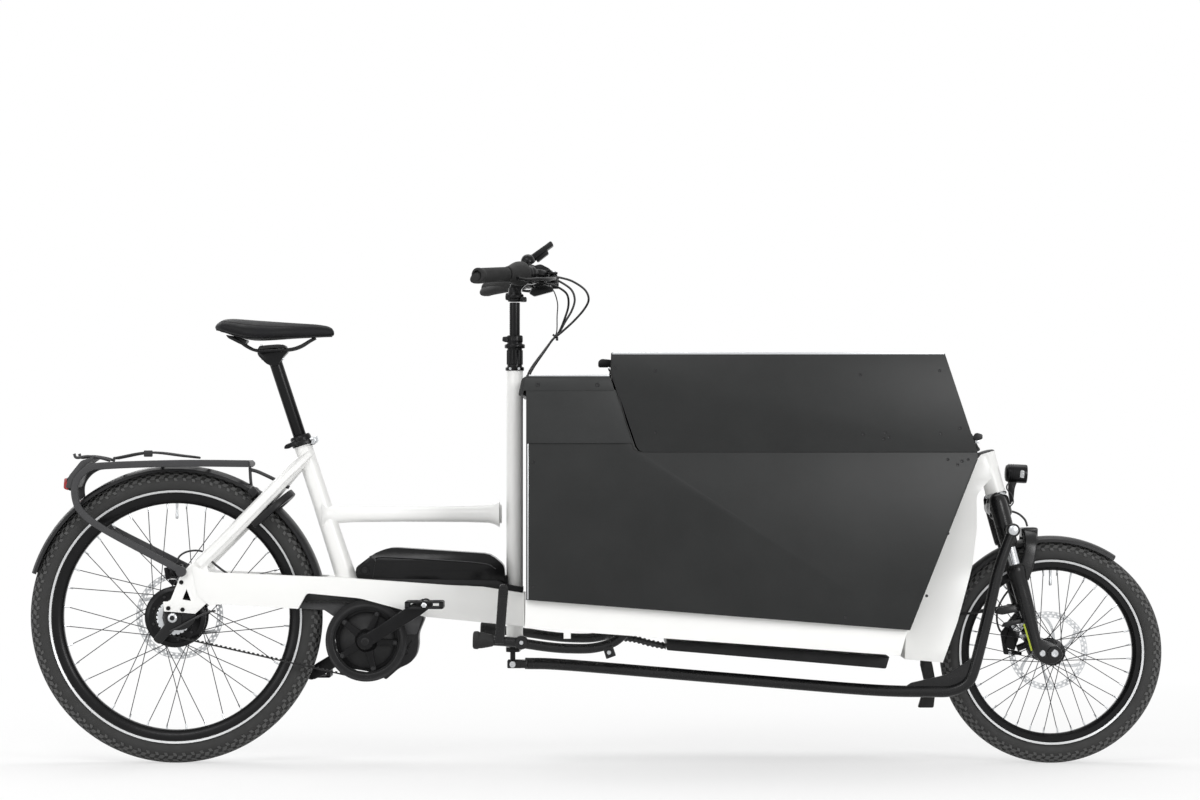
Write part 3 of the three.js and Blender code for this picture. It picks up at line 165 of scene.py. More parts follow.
# %% Floor, surroundings and lamps
def seen_directly(tree):
    """1 for what the camera sees straight on, in gloss or through glass, 0 for the light on the object."""
    rays = add(tree, "ShaderNodeLightPath").outputs
    first = arithmetic(tree, "MAXIMUM", rays["Is Camera Ray"], rays["Is Transmission Ray"])
    return arithmetic(tree, "MAXIMUM", first, rays["Is Glossy Ray"])


# The floor's length and width in metres: it ends out of sight from every side
FLOOR_SIZE = 48.0


def make_floor():
    """A wide floor. Its far part is plain white; the near part keeps a shadow."""
    half = FLOOR_SIZE / 2
    vertices = [(-half, -half, 0), (half, -half, 0), (half, half, 0), (-half, half, 0)]
    mesh = bpy.data.meshes.new("studio_floor")
    mesh.from_pydata(vertices, [], [(0, 1, 2, 3)])
    floor = bpy.data.objects.new("studio_floor", mesh)
    bpy.context.scene.collection.objects.link(floor)
    material, tree, shader, place = begin("studio_paper")
    feed(tree, shader, {"Base Color": colour("F6F6F6"), "Roughness": 0.9})
    behind = add(tree, "ShaderNodeSeparateXYZ", {0: place}).outputs["Y"]
    share = add(tree, "ShaderNodeMapRange", {"Value": behind, "From Min": 0.6, "From Max": 3.0,
                                             "To Min": 0.55, "To Max": 1.0}).outputs["Result"]
    amount = arithmetic(tree, "MULTIPLY", share, seen_directly(tree))
    white = add(tree, "ShaderNodeEmission", {"Color": colour("FFFFFF"), "Strength": 1.0}).outputs[0]
    both = add(tree, "ShaderNodeMixShader", {0: amount, 1: shader.outputs[0], 2: white}).outputs[0]
    tree.links.new(both, tree.nodes["Material Output"].inputs["Surface"])
    floor.data.materials.append(material)


def make_lamp(name, location, target, size, watts):
    """A rectangular soft panel turned to its target, in metres."""
    data = bpy.data.lights.new(name, "AREA")
    data.shape = "RECTANGLE"
    data.size, data.size_y = size
    data.energy = watts
    lamp = bpy.data.objects.new(name, data)
    lamp.location = location
    direction = Vector(target) - Vector(location)
    lamp.rotation_euler = direction.to_track_quat("-Z", "Y").to_euler()
    bpy.context.scene.collection.objects.link(lamp)


def make_world():
    """Even pale surroundings, seen as near white by the camera, by gloss and through glass."""
    world = bpy.data.worlds.new("studio")
    bpy.context.scene.world = world
    world.use_nodes = True
    tree = world.node_tree
    tree.nodes.clear()
    fill = add(tree, "ShaderNodeBackground", {"Color": colour("EAEAEA"), "Strength": 0.6})
    white = add(tree, "ShaderNodeBackground", {"Color": colour("FFFFFF"), "Strength": 1.0})
    both = add(tree, "ShaderNodeMixShader", {0: seen_directly(tree), 1: fill.outputs[0], 2: white.outputs[0]})
    add(tree, "ShaderNodeOutputWorld", {"Surface": both.outputs[0]})


make_floor()
make_world()
for lamp in [
    ("key_panel", (-2.0, -5.0, 4.6), (0, 0, 0.5), (3.5, 1.6), 98),
    ("side_panel", (-5.2, -5.0, 1.5), (-0.4, 0, 0.6), (2.4, 2.0), 45),
    ("front_panel", (3.3, -4.6, 2.0), (0.7, 0, 0.6), (1.4, 2.0), 108),
    ("top_panel", (0.0, 1.5, 5.5), (0, 0, 0.4), (5.0, 3.0), 110),
    ("back_panel", (-3.0, 5.0, 3.0), (0, 0, 0.5), (3.0, 2.5), 70),
]:
    make_lamp(*lamp)
print("floor, surroundings and five panels")

# %% [markdown]
# ## Finishes
# Each finish starts from the real material and how its surface was made. Patterns read Object
# coordinates in metres, so a grain of 0.4 mm is written as 0.4 and keeps that size on every piece.


# %% Powder coats
def powder_coat(name, base, shade, gloss, peel_mm, depth_mm, patchy=0.12, shine=0.5):
    """Baked polyester powder over steel or aluminium: an even colour with fine orange peel."""
    material, tree, shader, place = begin(name)
    patches = noise(tree, place, 22.0, 5.0, 0.6)
    feed(tree, shader, {
        "Base Color": ramp(tree, noise(tree, place, 90.0, 4.0), base, shade),
        "Roughness": spread(tree, patches, gloss, gloss + patchy),
        "IOR": 1.5, "Specular IOR Level": shine})
    raise_surface(tree, shader, noise(tree, place, peel_mm, 2.0), depth_mm, 0.6)
    return material


# Gloss white powder coat: bright, slightly warm, with soft reflections of the panels
WHITE_COAT = powder_coat("gloss_white_powder_coat", "F4F4F2", "F2F2F0", 0.3, 1.6, 0.002, 0.0)
# Satin black powder coat: most fittings; the peel breaks up long highlights
BLACK_COAT = powder_coat("satin_black_powder_coat", "121213", "171718", 0.24, 1.1, 0.012, 0.08, 0.3)
# Grey-black textured coat on the bent carrier bars
CARRIER_COAT = powder_coat("graphite_powder_coat", "38383A", "404041", 0.45, 0.8, 0.02, 0.1, 0.3)
# Dull grey-black hard coat on the folded carrier and its plates
DULL_COAT = powder_coat("matt_black_powder_coat", "29292A", "303031", 0.45, 0.9, 0.03, 0.1, 0.35)


# %% Anodised and polished metal
def anodised(name, base, shade, roughness):
    """Dyed anodised aluminium: a metal under a hard film, blasted before dyeing."""
    material, tree, shader, place = begin(name)
    grit = noise(tree, place, 0.5, 2.0)
    feed(tree, shader, {
        "Base Color": ramp(tree, noise(tree, place, 40.0, 4.0), base, shade),
        "Roughness": spread(tree, grit, roughness, roughness + 0.1),
        "Metallic": 0.5, "Specular IOR Level": 0.32})
    raise_surface(tree, shader, grit, 0.01, 0.5)
    return material


# Black anodised aluminium: cranks, bar, seat post, rims, blasted to a fine satin
BLACK_ANODISED = anodised("black_anodised_aluminium", "111112", "171718", 0.25)


def brushed_metal(name, base, shade, roughness, axis):
    """Rolled or turned steel: fine scratches along one direction, 0.25 mm apart."""
    material, tree, shader, place = begin(name)
    scale = [60.0 if letter == axis else 2500.0 for letter in "XYZ"]
    mapped = add(tree, "ShaderNodeMapping", {"Vector": place, "Scale": scale}).outputs[0]
    lines = add(tree, "ShaderNodeTexNoise", {"Vector": mapped, "Scale": 1.6, "Detail": 2.0}).outputs["Fac"]
    feed(tree, shader, {
        "Base Color": ramp(tree, lines, base, shade),
        "Roughness": spread(tree, lines, roughness, roughness + 0.15), "Metallic": 1.0})
    raise_surface(tree, shader, lines, 0.008, 0.6)
    return material


# Ground stainless steel: brake discs, screws and the cog
STEEL = brushed_metal("ground_stainless_steel", "B4B6B8", "D2D4D6", 0.22, "X")
# Hard chrome on the fork's inner legs: almost a mirror
CHROME = brushed_metal("hard_chrome", "C4C6C9", "D4D6D9", 0.08, "Z")


# %% Boards, plastics and rubber
def faced_board(name, dark="181919", light="222323"):
    """Box panels: laminate over ply, pressed against a grained sheet. The grain, 1.2 mm wide here, is
    drawn about twice its real size so that it shows."""
    material, tree, shader, place = begin(name)
    grain = noise(tree, place, 1.2, 3.0, 0.7)
    mixed = arithmetic(tree, "ADD", noise(tree, place, 160.0, 4.0), grain)
    feed(tree, shader, {
        "Base Color": ramp(tree, arithmetic(tree, "MULTIPLY", mixed, 0.5), dark, light, 0.38, 0.62),
        "Roughness": spread(tree, grain, 0.36, 0.5), "IOR": 1.5, "Specular IOR Level": 0.3})
    raise_surface(tree, shader, grain, 0.08, 0.7)
    return material


BOARD = faced_board("anthracite_laminate_board")
# The hood's boards face a little more to the light, so their colour is painted half a tone paler: painted light
BOARD_PAINTED_LIGHTER = faced_board("anthracite_board_painted_lighter", "252626", "2F3030")


def moulded(name, base, shade, roughness, spark_mm, depth_mm, ior=1.49, shine=0.35):
    """Injection-moulded plastic: the tool's spark-eroded texture, as small soft pits."""
    material, tree, shader, place = begin(name)
    pits = add(tree, "ShaderNodeTexVoronoi", {"Vector": place, "Scale": 1000.0 / spark_mm}).outputs["Distance"]
    feed(tree, shader, {
        "Base Color": ramp(tree, noise(tree, place, 30.0, 3.0), base, shade),
        "Roughness": spread(tree, noise(tree, place, 14.0, 3.0), roughness, roughness + 0.1),
        "IOR": ior, "Specular IOR Level": shine})
    raise_surface(tree, shader, pits, depth_mm, 0.5)
    return material


# Moulded nylon and ABS: mudguards, motor cover, lever bodies, lock
PLASTIC = moulded("moulded_black_nylon", "161617", "1D1D1E", 0.34, 1.1, 0.02, 1.49, 0.25)
# Polished ABS: the battery case and the display's glass-smooth face
GLOSS_PLASTIC = moulded("polished_black_abs", "0C0C0D", "111112", 0.14, 2.5, 0.003, 1.49, 0.22)
# Pale grey moulded finish for the thin lines along the battery's upper edges: a painted highlight where the
# chamfered edge catches the light
PAINTED_HIGHLIGHT_GREY = moulded("painted_highlight_grey", "3A3A3B", "454546", 0.5, 1.4, 0.05)
# Moulded motor shroud: a flat dark grey that hardly reflects
PLASTIC_GREY = moulded("matt_grey_abs", "444445", "4B4B4C", 0.55, 1.2, 0.03, 1.49, 0.2)
# Foamed rubber of grips and pedal pads: dull, with no clear highlight
GRIP_RUBBER = moulded("soft_grip_rubber", "1B1B1B", "232323", 0.68, 0.9, 0.05, 1.5)


def tyre_rubber(name, base, dusty):
    """Vulcanised rubber: dark grey, paler where the road has scuffed and dusted it."""
    material, tree, shader, place = begin(name)
    dust = noise(tree, place, 26.0, 5.0, 0.65)
    feed(tree, shader, {
        "Base Color": ramp(tree, dust, base, dusty, 0.3, 0.75),
        "Roughness": spread(tree, dust, 0.62, 0.85), "IOR": 1.52})
    raise_surface(tree, shader, noise(tree, place, 0.8, 3.0), 0.08, 0.6)
    return material


TYRE = tyre_rubber("vulcanised_tyre_wall", "1F1F1F", "2C2C2B")
# The tread is much paler than the wall: partly road scuff, partly painted light on the blocks against the darker
# casing in their grooves
TREAD_SCUFF_AND_PAINTED_LIGHT = tyre_rubber("tyre_tread_scuff_and_painted_light", "444444", "555554")


# %% Trim and lens finishes
def plain_trim(name, base, shade, roughness, metallic=0.0, grain_mm=0.6):
    """Small trim: an even colour with a trace of grain."""
    material, tree, shader, place = begin(name)
    grain = noise(tree, place, grain_mm, 2.0)
    feed(tree, shader, {"Base Color": ramp(tree, grain, base, shade), "Roughness": roughness, "Metallic": metallic})
    raise_surface(tree, shader, grain, 0.01, 0.4)
    return material


# Woven reflective band on the tyre wall: pale grey, slightly metallic glass beads
REFLECTIVE = plain_trim("reflective_tyre_band", "C9CACB", "DADBDC", 0.35, 0.25, 0.4)
# Extruded edge trim of the lid: bare aluminium, lightly brushed. On the box's top edges and rear corners its pale
# colour also paints the highlight of those lit edges; the valves use it as plain aluminium
PALE_TRIM_AND_PAINTED_HIGHLIGHT = plain_trim("satin_aluminium_trim_and_painted_highlight", "BFC1C3", "CCCED0", 0.34, 0.8, 0.5)
# Blackened rivets and screws: dark with a bright worn rim
RIVET = plain_trim("blackened_steel_rivets", "1A1A1B", "3E3E3F", 0.34, 0.6, 1.4)
# Fluorescent warning tape on the fork leg
FLUO_TAPE = plain_trim("fluorescent_tape", "9AA81E", "A9B72A", 0.45, 0.0, 0.8)
# Braided and smooth cable housing
HOUSING = plain_trim("cable_housing", "1A1A1B", "202021", 0.38, 0.0, 0.7)
# Blackened stainless wire of the spokes
SPOKE_BLACK = plain_trim("black_stainless_spoke", "232325", "303033", 0.3, 0.7, 0.5)


def lens(name, tint, roughness, cell_mm):
    """Moulded polycarbonate lens: clear, with prism cells pressed into its back."""
    material, tree, shader, place = begin(name)
    feed(tree, shader, {
        "Base Color": colour(tint), "Roughness": roughness, "Transmission Weight": 0.55, "IOR": 1.58})
    cells = add(tree, "ShaderNodeTexVoronoi", {"Vector": place, "Scale": 1000.0 / cell_mm},
                feature="F1", distance="CHEBYCHEV").outputs["Distance"]
    raise_surface(tree, shader, cells, 0.5, 0.7)
    return material


CLEAR_LENS = lens("clear_polycarbonate_lens", "F4F6F8", 0.06, 3.0)
RED_LENS = lens("red_polycarbonate_lens", "C0161C", 0.1, 2.4)
AMBER_LENS = lens("amber_reflector_lens", "D77A12", 0.12, 2.4)


def saddle_cover():
    """Polyurethane-coated knit: a leather-like pebble 1.3 mm across over a soft foam."""
    material, tree, shader, place = begin("coated_saddle_cover")
    pebble = add(tree, "ShaderNodeTexVoronoi", {"Vector": place, "Scale": 760.0, "Randomness": 0.9},
                 feature="SMOOTH_F1").outputs["Distance"]
    wear = noise(tree, place, 45.0, 4.0)
    feed(tree, shader, {
        "Base Color": ramp(tree, wear, "101011", "17171A"), "Roughness": spread(tree, wear, 0.5, 0.65),
        "Specular IOR Level": 0.2})
    raise_surface(tree, shader, pebble, 0.12, 0.6)
    return material


SADDLE_COVER = saddle_cover()
print("materials", len(bpy.data.materials))

# %% [markdown]
# ## Making meshes
# Frame tubes, forks and guards are all one of four shapes: a profile turned round an axis, a section
# carried along a route, a flat outline given a thickness, or a softened copy of a CAD solid. Four short
# functions make these, in millimetres, and one function puts each piece on its body.


# %% Place a piece
def place_piece(mesh, name, material, body, stands_for=(), smooth=38.0):
    """Finishes a mesh, or several as one, as a piece: smooth where it is round, sharp at real edges. Without a
    body it is left unattached."""
    if isinstance(mesh, list):
        mesh = joined(name, *mesh)
    mesh.materials.clear()
    mesh.materials.append(material)
    mesh.shade_smooth()
    mesh.set_sharp_from_angle(angle=math.radians(smooth))
    piece = bpy.data.objects.new(name, mesh)
    bpy.context.scene.collection.objects.link(piece)
    if stands_for:
        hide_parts(*stands_for)
    if body:
        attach(piece, body)
    return piece


def finish_bmesh(bm, name):
    """Merges doubles, turns faces outwards and scales millimetres to metres."""
    bmesh.ops.remove_doubles(bm, verts=bm.verts, dist=0.001)
    bmesh.ops.recalc_face_normals(bm, faces=bm.faces)
    bmesh.ops.scale(bm, vec=(MM, MM, MM), verts=bm.verts)
    mesh = bpy.data.meshes.new(name)
    bm.to_mesh(mesh)
    bm.free()
    return mesh


def modified(mesh, kind, inputs=(), **settings):
    """The mesh after one modifier, as a plain mesh. Inputs are those of a node tree, by identifier."""
    holder = bpy.data.objects.new("holder", mesh)
    bpy.context.scene.collection.objects.link(holder)
    modifier = holder.modifiers.new("change", kind)
    for name, value in settings.items():
        setattr(modifier, name, value)
    for identifier, value in inputs:
        modifier[identifier] = value
    done = bpy.data.meshes.new_from_object(holder.evaluated_get(bpy.context.evaluated_depsgraph_get()))
    bpy.data.objects.remove(holder)
    return done


def soften(mesh, width_mm, angle=32.0):
    """Rounds the sharp edges of a mesh by a real radius."""
    return modified(mesh, "BEVEL", width=width_mm * MM, segments=2, limit_method="ANGLE",
                    angle_limit=math.radians(angle), harden_normals=False)


# %% Turned, swept and flat shapes
def frame_for(direction, up=Vector((0, 0, 1))):
    """Two directions square to a line, the second as near to up as can be."""
    along = direction.normalized()
    if abs(along.dot(up)) > 0.98:
        up = Vector((1, 0, 0))
    side = up.cross(along).normalized()
    return side, along.cross(side)


def skin(bm, rings, closed=False):
    """Joins rings of vertices into a tube, and closes its ends."""
    count = len(rings[0])
    pairs = list(zip(rings, rings[1:])) + ([(rings[-1], rings[0])] if closed else [])
    for low, high in pairs:
        for i in range(count):
            j = (i + 1) % count
            bm.faces.new((low[i], low[j], high[j], high[i]))
    if not closed:
        bm.faces.new(rings[0][::-1])
        bm.faces.new(rings[-1])


def turned(name, profile, a, b, segments=48, ring=False):
    """A profile of (radius, distance from a) turned round the line a-b; a ring's profile closes on itself."""
    bm = bmesh.new()
    a, b = Vector(a), Vector(b)
    along = (b - a).normalized()
    side, up = frame_for(along)
    rings = []
    for turn in range(segments):
        angle = 2 * math.pi * turn / segments
        out = side * math.cos(angle) + up * math.sin(angle)
        rings.append([bm.verts.new(a + along * t + out * r) for r, t in profile])
    count = len(profile)
    for low, high in zip(rings, rings[1:] + rings[:1]):
        for i in range(count if ring else count - 1):
            j = (i + 1) % count
            bm.faces.new((low[i], low[j], high[j], high[i]))
    return finish_bmesh(bm, name)


def curve_points(route, steps):
    """A Catmull-Rom curve through the route, as steps points to each stretch."""
    points = [Vector(p) for p in route]
    padded = [points[0] * 2 - points[1], *points, points[-1] * 2 - points[-2]]
    out = []
    for i in range(len(points) - 1):
        p0, p1, p2, p3 = padded[i:i + 4]
        for step in range(steps):
            t = step / steps
            out.append(0.5 * ((2 * p1) + (p2 - p0) * t + (2 * p0 - 5 * p1 + 4 * p2 - p3) * t * t
                              + (3 * p1 - p0 - 3 * p2 + p3) * t ** 3))
    return out + [points[-1]]


def round_section(radius, sides=16):
    """A round section, about the origin."""
    return [(radius * math.cos(2 * math.pi * i / sides), radius * math.sin(2 * math.pi * i / sides))
            for i in range(sides)]


def bar_section(half_width, half_height, radius, steps=4):
    """A rectangular section with round corners, about the origin."""
    return rounded([
        (-half_width, -half_height, radius), (half_width, -half_height, radius), (half_width, half_height, radius),
        (-half_width, half_height, radius)], steps)


def sided(route, side):
    """A route of the left side, or its mirror image for the right one."""
    return [(x, side * y, z) for x, y, z in route]


def swept(name, section, route, steps=6, sizes=None, up=(0, 0, 1)):
    """A closed section carried along a smooth route without twisting; sizes scale it along the way."""
    bm = bmesh.new()
    path = curve_points(route, steps) if steps > 1 else [Vector(p) for p in route]
    ups = Vector(up)
    rings = []
    for i, point in enumerate(path):
        ahead = path[min(i + 1, len(path) - 1)] - path[max(i - 1, 0)]
        side, over = frame_for(ahead, ups)
        ups = over
        share = i / (len(path) - 1) * (len(sizes) - 1) if sizes else 0
        low = int(share) if sizes else 0
        size = 1.0
        if sizes:
            size = sizes[low] + (sizes[min(low + 1, len(sizes) - 1)] - sizes[low]) * (share - low)
        rings.append([bm.verts.new(point + side * u * size + over * v * size) for u, v in section])
    skin(bm, rings)
    return finish_bmesh(bm, name)


def rounded(points, steps=6):
    """An outline of (x, y, radius) points as plain points with round corners."""
    out = []
    count = len(points)
    for i, point in enumerate(points):
        here = Vector(point[:2])
        radius = point[2] if len(point) > 2 else 0
        before, after = Vector(points[i - 1][:2]), Vector(points[(i + 1) % count][:2])
        reach = min(radius, 0.48 * (before - here).length, 0.48 * (after - here).length)
        if reach < 0.05:
            out.append(tuple(here))
            continue
        start = here + (before - here).normalized() * reach
        end = here + (after - here).normalized() * reach
        for step in range(steps + 1):
            t = step / steps
            out.append(tuple(start * (1 - t) ** 2 + here * 2 * t * (1 - t) + end * t * t))
    return out


def slab(name, points, low, high, plane="XZ", edge=0.0, steps=6):
    """A flat outline given a thickness: XZ goes across, XY goes up and YZ goes forward."""
    bm = bmesh.new()
    turn = {"XZ": lambda u, v, w: (u, w, v), "XY": lambda u, v, w: (u, v, w), "YZ": lambda u, v, w: (w, u, v)}[plane]
    shape = rounded(points, steps)
    rings = [[bm.verts.new(turn(u, v, w)) for u, v in shape] for w in (low, high)]
    skin(bm, rings)
    mesh = finish_bmesh(bm, name)
    return soften(mesh, edge, 50.0) if edge else mesh


def joined(name, *meshes):
    """Several meshes as one."""
    bm = bmesh.new()
    for mesh in meshes:
        bm.from_mesh(mesh)
    whole = bpy.data.meshes.new(name)
    bm.to_mesh(whole)
    bm.free()
    return whole


def boxed(name, x0, x1, y0, y1, z0, z1, edge=1.0):
    """A block with rounded edges."""
    return slab(name, [(x0, z0), (x1, z0), (x1, z1), (x0, z1)], y0, y1, edge=edge)


def rod(name, a, b, radius, end_radius=None, segments=24, edge=0.6):
    """A straight round bar with chamfered ends."""
    length = (Vector(b) - Vector(a)).length
    last = end_radius or radius
    profile = [(0, 0), (radius - edge, 0), (radius, edge), (last, length - edge), (last - edge, length), (0, length)]
    return turned(name, profile, a, b, segments)


def slab_pair(name, points, near, far, edge=0.0):
    """The same slab on both sides, between two distances from the bicycle's middle plane."""
    return [slab(name, points, *sorted((side * near, side * far)), edge=edge) for side in (-1, 1)]


# %% Soft-edged copies of CAD solids
def softened_mesh(node, width_mm, angle=34.0):
    """A CAD solid's mesh, merged and with its edges rounded as a real part's are."""
    bm = bmesh.new()
    bm.from_mesh(NODES[node].data)
    bmesh.ops.remove_doubles(bm, verts=bm.verts, dist=0.00002)
    bmesh.ops.dissolve_limit(bm, angle_limit=math.radians(0.6), verts=bm.verts, edges=bm.edges)
    mesh = bpy.data.meshes.new(node + "_soft")
    bm.to_mesh(mesh)
    bm.free()
    return soften(mesh, width_mm, angle) if width_mm else mesh


def softened_node(node, material, width_mm=0.8, smooth=42.0, angle=34.0):
    """A softened copy that stands for a CAD solid whose shape is right."""
    mesh = softened_mesh(node, width_mm, angle)
    return place_piece(mesh, node + "_finish", material, NODES[node]["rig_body"], (node,), smooth)

# %% [markdown]
# ## The wheels
# A city tyre has a rounded casing, shallow tread blocks and a reflective band woven into its wall. The
# casing is a profile turned round the axle. The blocks repeat, so Geometry Nodes put one block on each
# point of a circle, with its count, radius, phase and centre as named inputs, and bake the result to a mesh.


# %% Geometry Nodes for things in a ring
def set_copies(tree, copies, material):
    """The end of each tree: copies on points, made real and given their material."""
    placed = add(tree, "GeometryNodeInstanceOnPoints", copies).outputs[0]
    real = add(tree, "GeometryNodeRealizeInstances", {"Geometry": placed}).outputs[0]
    done = add(tree, "GeometryNodeSetMaterial", {"Geometry": real, "Material": material}).outputs[0]
    add(tree, "NodeGroupOutput", {0: done})
    return tree


def ring_tree():
    """Copies of the input mesh round the Y axis through a centre: count, radius, phase and material."""
    tree = bpy.data.node_groups.new("ring_of_pieces", "GeometryNodeTree")
    face = tree.interface
    face.new_socket("Piece", in_out="INPUT", socket_type="NodeSocketGeometry")
    for name, kind, value in (("Count", "NodeSocketInt", 12), ("Radius", "NodeSocketFloat", 0.1),
                              ("Phase", "NodeSocketFloat", 0.0), ("Centre", "NodeSocketVector", (0, 0, 0)),
                              ("Material", "NodeSocketMaterial", None)):
        socket = face.new_socket(name, in_out="INPUT", socket_type=kind)
        if value is not None:
            socket.default_value = value
    face.new_socket("Ring", in_out="OUTPUT", socket_type="NodeSocketGeometry")
    given = add(tree, "NodeGroupInput").outputs
    line = add(tree, "GeometryNodeMeshLine", {"Count": given["Count"], "Offset": (0, 0, 0)})
    index = add(tree, "GeometryNodeInputIndex").outputs[0]
    around = arithmetic(tree, "MULTIPLY", arithmetic(tree, "DIVIDE", index, given["Count"]), 2 * math.pi)
    turn = arithmetic(tree, "ADD", around, given["Phase"])
    out_x = arithmetic(tree, "MULTIPLY", arithmetic(tree, "SINE", turn), given["Radius"])
    out_z = arithmetic(tree, "MULTIPLY", arithmetic(tree, "COSINE", turn), given["Radius"])
    spot = add(tree, "ShaderNodeCombineXYZ", {0: out_x, 2: out_z}).outputs[0]
    place = add(tree, "ShaderNodeVectorMath", {0: spot, 1: given["Centre"]}, operation="ADD").outputs[0]
    points = add(tree, "GeometryNodeSetPosition", {"Geometry": line.outputs[0], "Position": place}).outputs[0]
    facing = add(tree, "ShaderNodeCombineXYZ", {1: turn}).outputs[0]
    copies = {"Points": points, "Instance": given["Piece"], "Rotation": facing}
    return set_copies(tree, copies, given["Material"])


RING = ring_tree()


def run_tree(tree, mesh, name, **values):
    """Runs a tree on a mesh with the named inputs and returns the result as a plain mesh."""
    inputs = [(socket.identifier, values[socket.name]) for socket in tree.interface.items_tree
              if socket.in_out == "INPUT" and socket.name in values]
    result = modified(mesh, "NODES", inputs, node_group=tree)
    result.name = name
    return result


def ringed(name, mesh, wheel, count, radius, phase=0.0, material=None):
    """The mesh, drawn about the origin with its outside up, repeated round a wheel's axle."""
    return run_tree(RING, mesh, name, Count=count, Radius=radius * MM, Phase=math.radians(phase),
                    Centre=(wheel["x"] * MM, 0, wheel["z"] * MM), Material=material)


# %% Tyres
# Axle place, radii of tyre, bead and rim well, and widths of tyre and rim
REAR = dict(x=-977.5, z=340.0, tyre=340.0, width=62.0, bead=281.0, well=263.5, rim=36.0)
FRONT = dict(x=1059.0, z=258.0, tyre=258.0, width=55.0, bead=204.0, well=190.0, rim=32.0)


def axle_line(wheel, low=0.0, high=1.0):
    """Two points on an axle, at two distances across the bicycle."""
    return (wheel["x"], low, wheel["z"]), (wheel["x"], high, wheel["z"])


def tyre_mesh(wheel, name):
    """The casing: crowned tread, full walls and a bead tucked into the rim."""
    half = wheel["width"] / 2
    crown = wheel["tyre"] - 2.6
    middle = (wheel["tyre"] + wheel["bead"]) / 2
    rise = crown - middle
    profile = []
    for step in range(-26, 27):
        angle = math.radians(step * 4.6)
        y = half * math.sin(angle) if abs(angle) < math.pi / 2 else math.copysign(half, angle) * abs(math.sin(angle))
        profile.append((middle + rise * math.cos(angle), y))
    seat = wheel["rim"] / 2 - 3.4
    inside = [
        (wheel["bead"] + 3, seat), (wheel["bead"] + 3, seat - 5), (middle, half - 5), (crown - 6, half * 0.5),
        (crown - 6, -half * 0.5), (middle, 5 - half), (wheel["bead"] + 3, 5 - seat), (wheel["bead"] + 3, -seat)]
    return turned(name, profile + inside, *axle_line(wheel), segments=96, ring=True)


def tread_block(wheel, y, width, length, lean, deep):
    """One tread block lying on the crown at a place across the tyre, its outside up."""
    half = wheel["width"] / 2
    drop = (wheel["tyre"] - (wheel["tyre"] + wheel["bead"]) / 2) * (1 - math.sqrt(max(0.0, 1 - (y / half) ** 2)))
    skew = math.tan(math.radians(lean)) * width / 2
    points = [(-length / 2 - skew, -width / 2), (length / 2 - skew, -width / 2),
              (length / 2 + skew, width / 2), (-length / 2 + skew, width / 2)]
    mesh = slab("tread_block", points, -deep, 2.6, "XY", edge=0.0)
    slope = math.atan2(y, math.sqrt(max(1.0, half * half - y * y)))
    mesh.transform(Matrix.Translation((0, y * MM, -(drop + 2.6) * MM)) @ Matrix.Rotation(-slope, 4, "X"))
    return mesh


def make_tyre(wheel, label, body, count):
    node = label + "_tyre"
    place_piece(tyre_mesh(wheel, node + "_casing"), node + "_casing", TYRE, body, (node,), 50)
    parts = []
    rows = [
        (0.0, 9.0, 21.0, 0.0, 0.0), (9.5, 8.0, 15.0, 24.0, 0.5), (-9.5, 8.0, 15.0, -24.0, 0.5),
        (18.0, 7.0, 12.0, 14.0, 0.0), (-18.0, 7.0, 12.0, -14.0, 0.0), (25.0, 9.0, 11.0, -26.0, 0.5),
        (-25.0, 9.0, 11.0, 26.0, 0.5), (28.8, 7.0, 7.0, 20.0, 0.0), (-28.8, 7.0, 7.0, -20.0, 0.0)]
    for y, width, length, lean, offset in rows:
        block = tread_block(wheel, y * wheel["width"] / 62, width, length, lean, 1.4)
        parts.append(ringed(node + "_tread", block, wheel, count, wheel["tyre"], 360 * offset / count, TREAD_SCUFF_AND_PAINTED_LIGHT))
    # The blocks take the paler tread rubber: partly painted light against the darker grooves
    place_piece(parts, node + "_tread", TREAD_SCUFF_AND_PAINTED_LIGHT, body, smooth=30)
    band_radius = (wheel["tyre"] + wheel["bead"]) / 2 - 18.6
    bands = []
    for side in (-1, 1):
        wall = side * (wheel["width"] / 2)
        profile = [(band_radius - 2.4, wall * 0.765), (band_radius - 2.4, wall * 0.795),
                   (band_radius + 2.4, wall * 0.885), (band_radius + 2.4, wall * 0.855)]
        bands.append(turned(node + "_band", profile, *axle_line(wheel), segments=96, ring=True))
    place_piece(bands, node + "_reflective_bands", REFLECTIVE, body)


make_tyre(REAR, "rear", "rear_wheel", 96)
make_tyre(FRONT, "front", "front_wheel", 76)
print("tyres with tread blocks in nine rows")

# %% [markdown]
# A rim is an extruded channel bent into a hoop: two brake-track walls, a well between them and a small
# hook at each lip. Thirty-six spokes cross three times between it and the hub's flanges. One spoke is
# made by hand, as a thin bar with its bent head, and the same tree puts nine of each kind round the hub.


